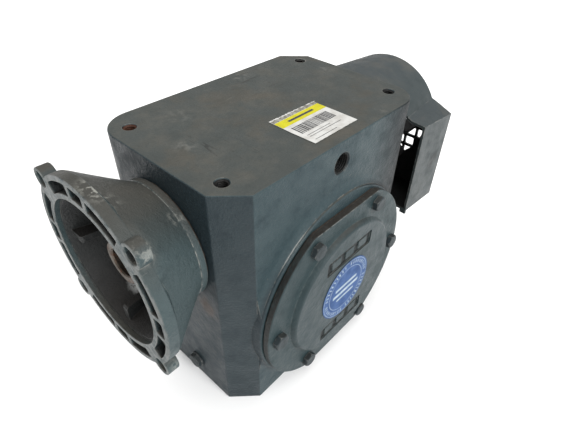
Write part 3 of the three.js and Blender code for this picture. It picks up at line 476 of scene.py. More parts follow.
def housing_regions(m, c):
    n = m.noise(150, 5, 0.65, off=6.0)
    # painted shade: the end wall under the motor adapter (facing -X) is painted darker and bluer, and the chamfer
    # between it and the -Y side a little darker too
    wall = m.ramp(m.normal_axis(0), -0.55, -0.9)
    c = m.mix(m.mul(wall, 0.75), c, shade(srgb(58, 72, 80), PK))
    ch = m.mul(m.ramp(m.normal_axis(0), -0.4, -0.6), m.ramp(m.normal_axis(1), -0.4, -0.6))
    c = m.mix(m.mul(ch, 0.5), c, shade(srgb(60, 70, 76), PK))
    # painted shade: the fan-end corner and the fan end of the -Y side are painted in a darker, bluer tone
    rc = m.mul(m.ramp(m.normal_axis(0), 0.12, 0.5), m.ramp(m.normal_axis(1), 0.0, -0.3))
    fan_end_shade = m.mul(m.ramp(m.axis(0), 0.03, 0.10), m.ramp(m.normal_axis(1), -0.2, -0.6))
    c = m.mix(m.mul(m.math("MAXIMUM", rc, fan_end_shade), 0.96), c, shade(srgb(12, 22, 28), PK))
    # rubbed patches on top
    for ctr, r0, r1, k in (((26, 61, 232), 3, 13, 0.5), ((-84, 0, 232), 3, 14, 0.4), ((95, 20, 232), 2, 12, 0.4), ((60, -66, 232), 2, 9, 0.35), ((-60, 40, 232), 4, 22, 0.25)):
        c = m.mix(m.mul(m.near(ctr, r0, r1, n), m.ramp(n, 0.46, 0.62), k), c, srgb(116, 115, 110))
    # brown stain below the adapter foot
    c = m.mix(m.mul(m.near((-112, -40, 118), 3, 14, n), 0.6), c, srgb(84, 66, 52))
    # bright worn line along the fan-end edge of the top, dark smears and strokes across it
    far = m.mul(m.near((110, 28, 232), 20, 46, n), m.edge(0.0025), m.ramp(n, 0.36, 0.52))
    c = m.mix(m.mul(far, 0.85), c, srgb(176, 171, 162))
    up = m.ramp(m.normal_axis(2), 0.9, 0.99)
    stroke = m.ramp(m.noise(30, 3, 0.5, stretch=(6.0, 0.7, 1.0), dist=1.6, off=21.0), 0.62, 0.68)
    c = m.mix(m.mul(up, stroke, m.near((-62, -14, 232), 12, 46, n), 0.55), c, shade(srgb(58, 58, 56), PK))
    stroke = m.ramp(m.noise(44, 3, 0.5, stretch=(0.8, 7.0, 1.0), dist=1.4, off=31.0), 0.62, 0.67)
    c = m.mix(m.mul(up, stroke, m.near((40, 46, 232), 12, 60, n), 0.45), c, shade(srgb(64, 60, 54), PK))
    c = m.mix(m.mul(up, m.ramp(m.noise(20, 5, 0.6, off=14.0), 0.52, 0.66), 0.35), c, shade(srgb(122, 112, 96), PK))
    # painted shade: the hole walls are painted near black (the one at -X +Y dark brown), and so is the threaded hole in
    # the -Y side
    top = m.ramp(m.axis(2), 0.2318, 0.2312)
    for sx in (-1, 1):
        for sy in (-1, 1):
            c = m.mix(m.mul(m.near((sx * MOUNT_X, sy * MOUNT_Y, 0), 5.0, 5.5, None, (1, 1, 0)), top, 0.96), c, srgb(12, 11, 10) if (sx, sy) != (-1, 1) else srgb(62, 34, 20))
    c = m.mix(m.mul(m.near((0, 0, PIPE_Z), 9.2, 9.8, None, (1, 0, 1)), m.ramp(m.axis(1), -0.0740, -0.0732), 0.94), c, srgb(16, 16, 15))
    # chips of bare metal at the cover pad's edge
    c = m.mix(m.mul(m.near((-58, -80, 165), 4, 22, n), m.edge(0.002), 0.9), c, srgb(190, 190, 186))
    return c


PAINT = paint("cast_paint", BASE, DARK, LIGHT, TOPC, WORN, 1.0, housing_regions)


def adapter_regions(m, c):
    n = m.noise(170, 5, 0.65, off=2.0)
    up = m.ramp(m.normal_axis(2), 0.25, 0.8)
    c = m.mix(m.mul(up, 0.6), c, shade(srgb(92, 91, 86), PK))
    # bare, rubbed flange face and rims
    face = m.ramp(m.axis(0), -0.1636, -0.1641)
    c = m.mix(m.mul(face, m.ramp(n, 0.36, 0.6), 0.7), c, srgb(112, 114, 112))
    for ctr, r0, r1, k in (((-150, -10, 238), 4, 20, 0.6), ((-158, -56, 219), 2, 12, 0.6), ((-158, -56, 113), 2, 10, 0.5), ((-120, -30, 205), 2, 12, 0.25)):
        c = m.mix(m.mul(m.near(ctr, r0, r1, n), m.ramp(n, 0.47, 0.58), k), c, srgb(184, 184, 176))
    # painted shade: the inside of the bell and the pockets between the rims are painted dark
    r = m.off_axis(0, ZW)
    lim = m.math("ADD", r, m.mul(m.math("ADD", m.axis(0), 0.1553), 0.3295))
    inner = m.mul(m.ramp(lim, 0.0562, 0.0552), m.ramp(m.axis(0), -0.1612, -0.1600))
    pock = m.mul(m.ramp(m.axis(0), -0.1636, -0.1626), m.ramp(m.axis(0), -0.1560, -0.1566), m.ramp(r, 0.0602, 0.0608), m.ramp(r, 0.0703, 0.0697))
    c = m.mix(m.mul(inner, 0.86), c, shade(srgb(66, 63, 62), PK * 0.8))
    c = m.mix(m.mul(pock, 0.7), c, shade(srgb(40, 42, 44), PK))
    # painted pool of light inside the bell: partly lighter bare casting, partly painted light falling in through the
    # opening
    lit = m.mul(m.near((-131, 15, 123), 7, 14, n), m.ramp(n, 0.25, 0.5))
    c = m.mix(m.mul(lit, inner, 0.9), c, srgb(206, 208, 206))
    return c


ADAPTER = paint("cast_paint_adapter", srgb(92, 112, 115), srgb(62, 80, 85), srgb(110, 127, 129), srgb(104, 102, 94), srgb(226, 226, 218), 1.0, adapter_regions, edgew=1.2)


def cover_regions(m, c):
    n = m.noise(170, 5, 0.65, off=12.0)
    # boss face lighter than the bolting rim, with a dark brown line along the rim's side
    d = m.ramp(m.axis(1), -0.0915, -0.0928)
    c = m.mix(m.mul(d, 0.75), c, shade(srgb(84, 100, 104), PK))
    pan = m.mul(m.ramp(m.axis(1), -0.0926, -0.0916), m.band(0, -30, 30, 0.6), m.ramp(m.normal_axis(1), -0.5, -0.9), m.ramp(m.axis(1), -0.0908, -0.0911))
    c = m.mix(m.mul(pan, 0.85), c, shade(srgb(26, 30, 31), PK))
    side = m.mul(m.ramp(m.axis(1), -0.0868, -0.0862), m.ramp(m.axis(1), -0.0790, -0.0800))
    c = m.mix(m.mul(side, m.ramp(n, 0.25, 0.6, 0.35, 0.75)), c, shade(srgb(58, 50, 44), PK))
    return c


COVER = paint("cast_paint_cover", srgb(68, 89, 93), srgb(50, 67, 71), srgb(82, 102, 105), srgb(92, 92, 88), srgb(190, 194, 190), 0.8, cover_regions)


def sheet_regions(m, c):
    n = m.noise(150, 5, 0.65, off=3.0)
    c = m.mix(m.mul(m.near((168, -77, 140), 4, 13, n), 0.55), c, shade(srgb(52, 56, 56), PK))
    c = m.mix(m.mul(m.near((150, -77, 110), 3, 16, n), 0.2), c, shade(srgb(80, 84, 82), PK))
    # the unpainted black inside gets its own material in make_shroud
    return c


SHEETP = paint("sheet_paint", srgb(84, 95, 97), srgb(70, 80, 82), srgb(98, 107, 107), srgb(92, 101, 104), srgb(190, 190, 184), 0.25, sheet_regions, 0.40)
BOLTP = paint("painted_bolt", srgb(68, 80, 85), srgb(40, 48, 52), srgb(90, 101, 104), srgb(70, 74, 74), srgb(180, 182, 178), 0.4, None, 0.45)
DARKB = plain("dark_bolt", srgb(44, 48, 50), srgb(66, 64, 60), 0.45, 300, 0.3, 0.5, 0.4)
STEEL = metal("machined_steel", srgb(166, 168, 169), srgb(138, 140, 142), RUST, 0.04, 0.30, (1, 0.15, 1))
QUILL = metal("machined_steel_rusty", srgb(104, 96, 88), srgb(66, 58, 50), srgb(80, 48, 28), 0.45, 0.38, (0.2, 1, 1))
BRONZE = metal("bronze", srgb(178, 136, 78), srgb(140, 100, 56), srgb(92, 62, 34), 0.1, 0.34)
IRON = plain("hub_iron", srgb(92, 92, 94), srgb(66, 66, 68), 0.6, 220, 0.5, 0.4, 0.5)
RUBBER = plain("seal_rubber", srgb(28, 28, 29), srgb(44, 43, 42), 0.7, 160, 0.2)
GASK = plain("gasket", srgb(66, 54, 44), srgb(44, 37, 31), 0.9, 260, 0.3)
PLAST = plain("fan_plastic", srgb(30, 32, 34), srgb(48, 48, 46), 0.5, 160, 0.15)
PAPER = plain("label_paper", srgb(194, 194, 191), srgb(170, 168, 163), 0.55, 90, 0.12)
BLUE = plain("label_blue", srgb(2, 66, 124), srgb(2, 54, 104), 0.5, 110, 0.1)
YELLOW = plain("label_yellow", srgb(190, 184, 4), srgb(172, 164, 10), 0.55, 160, 0.1)
INK = plain("label_ink", srgb(40, 41, 44), srgb(66, 67, 70), 0.6, 260, 0.1)
WHITEINK = plain("label_white_ink", srgb(160, 174, 184), srgb(132, 152, 168), 0.5, 260, 0.1)
DIRTY = plain("label_worn_edge", srgb(98, 95, 86), srgb(160, 158, 150), 0.75, 420, 0.3)

by_slot = {"cast_paint": PAINT, "sheet_paint": SHEETP, "label_paper": PAPER, "label_blue": BLUE, "gasket": GASK, "seal_rubber": RUBBER, "dark_bolt": DARKB, "bronze": BRONZE, "hub_iron": IRON, "fan_plastic": PLAST, "machined_steel": STEEL}
slots = {s["node"]: s["material_slot"] for s in frame["record"]["subparts"]}
for name, o in frame["nodes"].items():
    o.data.materials.clear()
    o.data.materials.append(by_slot[slots[name]])


# ------------------------------------------------------------------ housing casting
def body_outline(ins, n=12, rc=2.0):
    x, y, c, r = HX - ins, HY - ins, CORNER - ins * 0.586, max(CORNER_R - ins, 8)
    p = [(-x, -y + c, rc), (-x + c, -y, rc)]
    p += arc(x - r, -y + r, r, -90, 0, n)
    p += [(x, y - c, rc), (x - c, y, rc)]
    p += arc(-x + r, y - r, r, 90, 180, n)
    return fil(p, 3)


def thread_hole(r, depth, pitch, axis, c0, c1, a0, sgn, turns, seg=48, ch=0.8):
    p = [(0, a0 - sgn), (r + ch, a0 - sgn), (r + ch, a0), (r, a0 + sgn * ch)]
    a = a0 + sgn * ch
    for i in range(turns):
        p += [(r, a + sgn * (i * pitch + 0.12 * pitch)), (r - 0.62 * pitch, a + sgn * (i + 0.5) * pitch), (r - 0.62 * pitch, a + sgn * (i + 0.62) * pitch)]
    p += [(r - 0.3 * pitch, a + sgn * turns * pitch), (r - 0.3 * pitch, a0 + sgn * depth), (0, a0 + sgn * depth)]
    return lathe(p, axis, c0, c1, seg)


def make_housing():
    h = prism(body_outline(0), 0, HZ, "Z", 0.8, 1.3, 3)
    for s in (-1, 1):
        pad = lathe([(0, s * 60), (PAD_R + 1.2, s * 60), (PAD_R + 1.2, s * (HY + 1)), (PAD_R + 1.0, s * (PAD_Y - 1.6)), (PAD_R + 0.7, s * (PAD_Y - 0.7)), (PAD_R + 0.1, s * (PAD_Y - 0.15)), (PAD_R - 0.6, s * PAD_Y), (0, s * PAD_Y)], "Y", 0, ZO, 192)
        fl = [(0, s * (HY - 3)), (PAD_R + 9.4, s * (HY - 3)), (PAD_R + 9.4, s * (HY - 0.01))]
        for k in range(7):
            t = k / 6
            fl.append((PAD_R + 9.0 - 7.8 * t, s * (HY + 0.02 + 3.7 * t * t)))
        fl.append((0, s * (HY + 3.72)))
        fill = lathe(fl, "Y", 0, ZO, 192)
        pad = both(pad, box(-HX + 4, HX - 4, -90, 90, 0, HZ))
        x0 = -HX + CORNER if s < 0 else -HX + CORNER_R
        fill = both(fill, box(x0, HX - CORNER_R if s < 0 else HX - CORNER, -90, 90, 0, HZ))
        h = add(h, pad, fill)
    core = prism(body_outline(WALL, 8), WALL + 2, HZ - WALL - 4, "Z")
    core = cut(core, rod(FRONT_BRG_R + 11, -HX - 1, -78, "X", 0, ZW), rod(REAR_BRG_R + 9, 76, HX + 1, "X", 0, ZW))
    h = cut(h, core)
    h = cut(h, rod(FRONT_BRG_R, -HX - 5, -70, "X", 0, ZW, 64), rod(REAR_BRG_R, 70, HX + 5, "X", 0, ZW, 64), rod(PILOT_R, -PAD_Y - 5, PAD_Y + 5, "Y", 0, ZO, 96))
    holes = []
    for sx in (-1, 1):
        for sy in (-1, 1):
            holes.append(thread_hole(MOUNT_R + 0.1, 13.5, 1.6, "Z", sx * MOUNT_X, sy * MOUNT_Y, HZ, -1, 6))
            holes.append(thread_hole(MOUNT_R + 0.1, 12, 1.6, "Z", sx * MOUNT_X, sy * MOUNT_Y, 0, 1, 5))
    holes.append(thread_hole(PIPE_R, HY - 55, 1.8, "Y", 0, PIPE_Z, -HY, 1, 7, 64, 0.6))
    holes.append(rod(PIPE_R, 55, HY + 3, "Y", 0, PIPE_Z))
    holes.append(rod(DRAIN_R, -HX - 2, -HX + WALL + 4, "X", DRAIN_Y, DRAIN_Z))
    holes.append(rod(DRAIN_R, HX - WALL - 4, HX + 2, "X", 0, LEVEL_Z))
    for k in range(6):
        dx, dz = polar(COVER_BC, 60 * k)
        holes.append(rod(5.0, -PAD_Y - 2, -60, "Y", dx, ZO + dz, 24))
        holes.append(rod(5.0, 60, PAD_Y + 2, "Y", dx, ZO + dz, 24))
    holes.append(rod(38, HX - 2.8, HX - 0.6, "X", 0, ZW, 64))
    for k in range(4):
        a, b = polar(SCREW_R, 45 + 90 * k)
        holes.append(rod(3.3, -HX - 2, -HX + 18, "X", a, ZW + b, 20))
    for y, z in SHROUD_SCREWS:
        holes.append(rod(3.1, HX - 9, HX + 2, "X", y, z, 20))
    h = cut(h, *holes)
    return finish_piece(h, "housing_casting", PAINT, "cast_paint", "case", "housing")


make_housing()


# ------------------------------------------------------------------ motor adapter
def make_adapter():
    X1, XF = -HX - 1.2, FLANGE_X
    b = lambda *q: q
    rim = lathe(fil([(RIM_IN - 6, XF), (FLANGE_R, XF, 0.9), (FLANGE_R, XF + FLANGE_T, 1.6), (RIM_IN - 6, XF + FLANGE_T)], 4), "X", 0, ZW, 160)
    N = 144
    sq, rr = 64.0, 30.0

    def square_r(t):
        c, s = abs(math.cos(t)), abs(math.sin(t))
        e = sq - rr
        # distance to a square of half side 64 with 44 mm corners, along direction t
        if s / max(c, 1e-9) <= e / sq:
            return sq / c
        if c / max(s, 1e-9) <= e / sq:
            return sq / s
        B = e * (c + s)
        return B + math.sqrt(max(0, B * B - (2 * e * e - rr * rr)))

    rings = []
    xa, xb = XF + FLANGE_T - 1, X1 - 3.4
    steps = 12
    for k in range(steps + 1):
        w = k / steps
        x = xa + (xb - xa) * w
        r = []
        for i in range(N):
            t = 2 * math.pi * i / N
            q = square_r(t) * (1 - w) + (BASE_R - 1.6) * w
            q = min(q, FLANGE_R - 0.4)
            r.append((x, q * math.cos(t), ZW + q * math.sin(t)))
        rings.append(r)
    body = loft(rings)
    foot = lathe(fil([(0, X1 - 5.0), (BASE_R, X1 - 5.0, 1.0), (BASE_R, X1, 0.6), (0, X1)], 4), "X", 0, ZW, 128)
    # soft fillet where the ring meets the body
    fr = [(0, XF + 6)]
    fr += [(FLANGE_R - 2.2, XF + 6), (FLANGE_R - 2.2, XF + FLANGE_T + 0.2), (FLANGE_R - 5.0, XF + FLANGE_T + 1.4), (FLANGE_R - 8.2, XF + FLANGE_T + 3.4), (0, XF + FLANGE_T + 3.4)]
    fillet = lathe(fr, "X", 0, ZW, 144)
    ears = []
    for k in range(4):
        y, z = polar(BOLT_R, 45 + 90 * k)
        pts = arc(0, 0, EAR_R, -90, 90, 20) + [(-16, EAR_R), (-16, -EAR_R)]
        a = math.radians(45 + 90 * k)
        pts = [(y + p[0] * math.cos(a) - p[1] * math.sin(a), ZW + z + p[0] * math.sin(a) + p[1] * math.cos(a)) for p in pts]
        ears.append(prism(pts, XF, XF + EAR_T, "X", 0.8, 1.2, 3))
    a = add(rim, body, foot, fillet, *ears)
    a = cut(a, lathe(fil([(0, XF - 2), (REGISTER_R, XF - 2), (REGISTER_R, XF + 4.4), (55.6, XF + 4.4, 0.5), (54.0, XF + 9, 3), (42.6, X1 - 8, 2.5), (0, X1 - 8)], 4), "X", 0, ZW, 160))
    ribs = []
    for k in range(4):
        rib = fil([(XF + 7.5, 55), (XF + 7.5, 42.5, 1.2), (XF + 9, 41, 1.2), (X1 - 7.5, 36), (X1 - 7.5, 44.4), (XF + 16, 54)], 3)
        # drawn in (x, r), thickness across
        m = len(rib)
        verts = [(p[0], -2.8, p[1]) for p in rib] + [(p[0], 2.8, p[1]) for p in rib]
        faces = [list(range(m)), list(range(m, 2 * m))[::-1]] + [[i, (i + 1) % m, m + (i + 1) % m, m + i] for i in range(m)]
        r = obj("t", verts, faces)
        turn(r, Matrix.Translation((0, 0, ZW)) @ Matrix.Rotation(math.radians(90 * k), 4, "X"))
        ribs.append(r)
    a = add(a, *ribs)
    a = cut(a, lathe([(0, X1 - 12), (26, X1 - 12), (26, X1 + 1.5), (0, X1 + 1.5)], "X", 0, ZW, 96))
    cuts = []

    def pocket(a0, a1):
        n = max(3, int((a1 - a0) / 3))
        o, i = arc(0, ZW, RIM_OUT, a0, a1, n), arc(0, ZW, RIM_IN, a1, a0, n)
        p = [(*o[0], 1.6)] + o[1:-1] + [(*o[-1], 1.6), (*i[0], 1.6)] + i[1:-1] + [(*i[-1], 1.6)]
        return prism(fil(p, 4), XF - 1, XF + FLANGE_T - 2.2, "X")

    for k in range(4):
        c = 90 * k
        cuts += [pocket(c - 6.8, c + 6.8), pocket(c + 9.8, c + 36.2), pocket(c - 36.2, c - 9.8)]
        y, z = polar(BOLT_R, 45 + 90 * k)
        cuts.append(lathe([(0, XF - 1), (6.6, XF - 1), (6.6, XF), (5.9, XF + 0.7), (5.9, XF + EAR_T + 1), (0, XF + EAR_T + 1)], "X", y, ZW + z, 48))
        y, z = polar(SCREW_R, 45 + 90 * k)
        cuts.append(rod(3.3, X1 - 14, X1 + 1, "X", y, ZW + z, 24))
    a = cut(a, *cuts)
    return finish_piece(a, "adapter_casting", ADAPTER, "cast_paint", "case", "c_face_adapter")


make_adapter()


# ------------------------------------------------------------------ covers and bolts
def rim_flats(s):
    y0, y1 = sorted((s * (PAD_Y + 0.1), s * 120))
    return [box(-60, 60, y0, y1, *sorted((ZO + t * COVER_FLAT, ZO + t * 120))) for t in (-1, 1)]


def bolt_holes(r, s, y0, y1):
    out = []
    for k in range(6):
        x, z = polar(COVER_BC, 60 * k)
        out.append(rod(r, min(s * y0, s * y1), max(s * y0, s * y1), "Y", x, ZO + z, 28))
    return out


def make_closed_cover():
    s, y0 = -1, PAD_Y + 1.2
    y1 = y0 + COVER_T
    y2 = y1 + BOSS_T
    prof = [(0, s * 85.6), (31, s * 85.6), (31, s * 82.2), (40, s * 82.2), (40, s * 62.5), (48, s * 62.5), (50, s * 74), (PILOT_R - GAP, s * 74), (PILOT_R - GAP, s * y0), (COVER_R, s * y0, 0.4), (COVER_R, s * y1, 1.3)]
    foot = [(BOSS_R1 + 1.2, s * y1), (BOSS_R1 - 0.6, s * (y1 + 0.25)), (BOSS_R1 - 2.0, s * (y1 + 1.1)), (BOSS_R2 + 1.5, s * (y2 - 1.5)), (BOSS_R2, s * y2, 1.2), (0, s * y2)]
    c = lathe(fil(prof + foot, 4), "Y", 0, ZO, 192)
    c = cut(c, *bolt_holes(4.9, s, y0 - 2, y1 + 2), *rim_flats(s))
    cuts, adds = [], []
    for dz in (42.6, -42.6):
        z0, z1 = ZO + dz - 7.6, ZO + dz + 7.6
        cuts.append(prism(fil([(-30.5, z0, 2), (30.5, z0, 2), (30.5, z1, 2), (-30.5, z1, 2)], 4), -y2 - 1, -y2 + 1.6, "Y"))
        for k in (-1, 0, 1):
            x0, x1, w0, w1 = k * 18 - 6, k * 18 + 6, ZO + dz - 4.4, ZO + dz + 4.4
            adds.append(prism(fil([(x0, w0, 1), (x1, w0, 1), (x1, w1, 1), (x0, w1, 1)], 3), -y2 + 0.4, -y2 + 2.4, "Y", 0.5, 0))
    c = cut(c, *cuts)
    c = add(c, *adds)
    finish_piece(c, "closed_cover_casting", COVER, "cast_paint", "case", "closed_cover")


def make_output_cover():
    y0 = PAD_Y + 1.2
    y1 = y0 + COVER_T
    prof = [(33, 85.6), (33, 82.2), (40, 82.2), (40, 62.5), (48, 62.5), (50, 74), (PILOT_R - GAP, 74), (PILOT_R - GAP, y0), (COVER_R, y0, 0.4), (COVER_R, y1, 1.3), (54, y1, 3), (42, y1 + 7, 2.5), (41, 98.5, 1.2), (29, 98.5, 0.5), (29, 88), (24, 88), (24, 85.6)]
    c = lathe(fil(prof, 4), "Y", 0, ZO, 192)
    c = cut(c, *bolt_holes(4.9, 1, y0 - 2, y1 + 2), *rim_flats(1))
    finish_piece(c, "output_cover_casting", COVER, "cast_paint", "case", "output_cover")


make_closed_cover()
make_output_cover()


def hex_bolt(af, hh, r, length, washer, mx, name, mat, node_name, slot="dark_bolt", body="case", recess=False):
    """Local: head toward -Z, shank toward +Z."""
    c = af / math.sqrt(3)
    hexa = [polar(c, 60 * i) for i in range(6)]
    b = prism(fil([(x, y, 0.25) for x, y in hexa], 2), -hh, 0, "Z")
    b = both(b, lathe(fil([(0, -hh), (af / 2 * 0.93, -hh, 0.6), (c * 1.005, -hh + 1.05, 0.4), (c * 1.01, 1), (0, 1)], 2), "Z", 0, 0, 48))
    parts = [rod(r, -1, length, "Z", 0, 0, 24, 0.4)]
    if washer:
        parts.append(lathe(fil([(0, -1.0), (washer, -1.0, 0.4), (washer, 0, 0.2), (0, 0)], 3), "Z", 0, 0, 48))
    b = add(b, *parts)
    turn(b, mx)
    return finish_piece(b, name, mat, slot, body, node_name)


RX, RY, RZ = (lambda a: Matrix.Rotation(a, 4, "X")), (lambda a: Matrix.Rotation(a, 4, "Y")), (lambda a: Matrix.Rotation(a, 4, "Z"))
MT = lambda x, y, z: Matrix.Translation((x, y, z))
to_px = lambda x, y, z: MT(x, y, z) @ RY(math.pi / 2)
to_mx = lambda x, y, z: MT(x, y, z) @ RY(-math.pi / 2)
to_py = lambda x, y, z: MT(x, y, z) @ RX(-math.pi / 2)
to_my = lambda x, y, z: MT(x, y, z) @ RX(math.pi / 2)
yc = PAD_Y + 1.2 + COVER_T
for k in range(6):
    x, z = polar(COVER_BC, 60 * k)
    hex_bolt(BOLT_AF, HEAD_H, 3.9, 20, 0, to_py(x, -yc - GAP, ZO + z) @ RZ(math.radians(k * 23 + 10)), f"closed_cover_screw_{k + 1}", BOLTP, f"closed_cover_bolt_{k + 1}")
    hex_bolt(BOLT_AF, HEAD_H, 3.9, 20, 0, to_my(x, yc + GAP, ZO + z) @ RZ(math.radians(k * 17 + 5)), f"output_cover_screw_{k + 1}", BOLTP, f"output_cover_bolt_{k + 1}")
for k in range(4):
    y, z = polar(SCREW_R, 45 + 90 * k)
    hex_bolt(8.8, 4.2, 2.5, 21, 0, to_px(-HX - 1.2 - 8 - GAP, y, ZW + z), f"adapter_hex_screw_{k + 1}", DARKB, f"adapter_screw_{k + 1}")
for k, (y, z) in enumerate(SHROUD_SCREWS):
    hex_bolt(8, 3.2, 2.3, 10, 5.2, to_mx(SHROUD_X0 + SHEET + GAP, y, z), f"shroud_hex_screw_{k + 1}", DARKB, f"shroud_screw_{k + 1}")
hex_bolt(12.7, 5.2, 6.2, 11, 8.0, to_px(-HX - GAP, DRAIN_Y, DRAIN_Z), "drain_plug_hex", BOLTP, "drain_plug")
hex_bolt(12.7, 5.2, 6.2, 11, 8.0, to_mx(HX + GAP, 0, LEVEL_Z), "level_plug_hex", BOLTP, "level_plug")
hex_bolt(16, 6.5, 8.4, 11, 9.8, to_my(0, HY + GAP, PIPE_Z), "vent_plug_hex", BOLTP, "vent_plug")


# ------------------------------------------------------------------ shroud
def make_shroud():
    def outline(r, a0, sh, co, foot, t, n=22):
        top = arc(0, ZW, r - t, 90, a0, n)
        pts = top + [(sh[0] - t * 0.5, ZW + sh[1] - t), (co[0] - t, ZW + co[1] - t), (co[0] - t, foot + t)]
        return pts + [(-p[0], p[1]) for p in pts[1:]][::-1]

    def front(t):
        return outline(65.0, 27.8, (62.5, 28.3), (WING_Y - 0.3, 27.1), 92.6, t)

    def rear(t):
        return outline(SHROUD_R, 30.5, (62.5, 27.6), (WING_Y, 21.6), 88.2, t)

    def taper(t, x0, x1, rnd_=0.0):
        A, B = front(t), rear(t)
        rings = []
        xs = [x0] + ([x1 - rnd_ * (1 - math.sin(math.pi / 2 * q / 4)) for q in range(0, 5)] if rnd_ else [x1])
        for k, x in enumerate(xs):
            w = (x - WING_X0) / (SHROUD_X1 - WING_X0)
            ins = 0 if k == 0 or not rnd_ else rnd_ * (1 - math.cos(math.pi / 2 * (k - 1) / 4))
            o = [(a[0] + (b[0] - a[0]) * w, a[1] + (b[1] - a[1]) * w) for a, b in zip(A, B)]
            if ins:
                o = inset(o, ins)
            rings.append([(x, p[0], p[1]) for p in o])
        return loft(rings)

    s = cut(taper(0, WING_X0, SHROUD_X1, 1.8), taper(SHEET, WING_X0 - 2, SHROUD_X1 - SHEET, 0.8))
    adds = [prism(arc(0, ZW, 65.0, 150, 30, 60) + arc(0, ZW, 65.0 - SHEET, 30, 150, 60), SHROUD_X0, WING_X0 + 1, "X")]
    for sy in (-1, 1):
        adds.append(prism(fil([(sy * p[0], ZW + p[1], 2.0) for p in ((26, 59), (46, 43), (41, 33), (27, 33), (19, 46))], 3), SHROUD_X0, SHROUD_X0 + SHEET, "X"))
        y0, y1 = sorted((sy * 34, sy * 54))
        adds.append(box(SHROUD_X0, WING_X0 + 8, y0, y1, 92.4, 94.8))
        adds.append(prism(fil([(y0, 92.4), (y1, 92.4), (y1, 107, 4), (y0, 107, 4)], 3), SHROUD_X0, SHROUD_X0 + SHEET, "X"))
        y0, y1 = sorted((sy * 70, sy * (WING_Y - 0.3)))
        adds.append(box(WING_X0, WING_X0 + SHEET, y0, y1, 88.6, 94))
    s = add(s, *adds)
    cuts = [rod(3.0, SHROUD_X0 - 1, SHROUD_X0 + 4, "X", y, z, 24) for y, z in SHROUD_SCREWS]
    pitch, hole, field = 12.2, 9.6, 52.5
    cells = []
    for i in range(-5, 6):
        for j in range(-5, 6):
            cy, cz = -2.3 + pitch * i, ZW + pitch * j
            near = math.hypot(max(0, abs(cy) - hole / 2), max(0, abs(cz - ZW) - hole / 2))
            if near > field - 4:
                continue
            h = hole / 2
            cells.append(fil([(cy - h, cz - h, 1.5), (cy + h, cz - h, 1.5), (cy + h, cz + h, 1.5), (cy - h, cz + h, 1.5)], 4))
    verts, faces = [], []
    for o in cells:
        n0, m = len(verts), len(o)
        verts += [(SHROUD_X1 - 4, p[0], p[1]) for p in o] + [(SHROUD_X1 + 2, p[0], p[1]) for p in o]
        faces += [[n0 + i for i in range(m)][::-1], [n0 + m + i for i in range(m)]]
        faces += [[n0 + i, n0 + (i + 1) % m, n0 + m + (i + 1) % m, n0 + m + i] for i in range(m)]
    grid = both(obj("t", verts, faces), rod(field, SHROUD_X1 - 5, SHROUD_X1 + 3, "X", 0, ZW, 128))
    s = cut(s, grid, *cuts)
    o = finish_piece(s, "fan_shroud_sheet", SHEETP, "sheet_paint", "case", "fan_shroud")
    # the inside of the sheet is black
    o.data.materials.append(PLAST_IN)
    for p in o.data.polygons:
        c, n = p.center * 1000, p.normal
        inward = False
        if c.x > WING_X0 + 0.5:
            if abs(n.x) > 0.9:
                inward = n.x < 0
            else:
                r = Vector((c.y, c.z - ZW))
                cen = Vector((c.y, c.z - (ZW - 20)))
                inward = (n.y * cen.x + n.z * cen.y) < 0
        elif c.x > SHROUD_X0:
            inward = abs(n.x) < 0.9 and (n.y * c.y + n.z * (c.z - ZW)) < 0
        if inward:
            p.material_index = 1
    return o


PLAST_IN = plain("shroud_inside", srgb(24, 26, 27), srgb(38, 38, 36), 0.6, 120, 0.2)
make_shroud()


# ------------------------------------------------------------------ shafts
def make_quill():
    """The worm shaft keeps its CAD thread; only its hollow end and journals are redrawn round."""
    b = 0.5
    P = [(QUILL_BORE, QUILL_END + 62), (QUILL_BORE, QUILL_END + 1.1, 0.3), (QUILL_BORE + 1.1, QUILL_END, 0.4), (QUILL_R - 1, QUILL_END, 0.3), (QUILL_R, QUILL_END + 1, 0.3), (QUILL_R, -89.4)]
    P += [(0, -89.4), (0, QUILL_END + 66)]
    q = lathe(fil(P, 3), "X", 0, ZW, 96)
    q = cut(q, prism(fil([(-2.4, ZW + 8), (2.4, ZW + 8), (2.4, ZW + QUILL_BORE + 2.4, 0.4), (-2.4, ZW + QUILL_BORE + 2.4, 0.4)], 2), QUILL_END - 2, QUILL_END + 58, "X"))
    return q


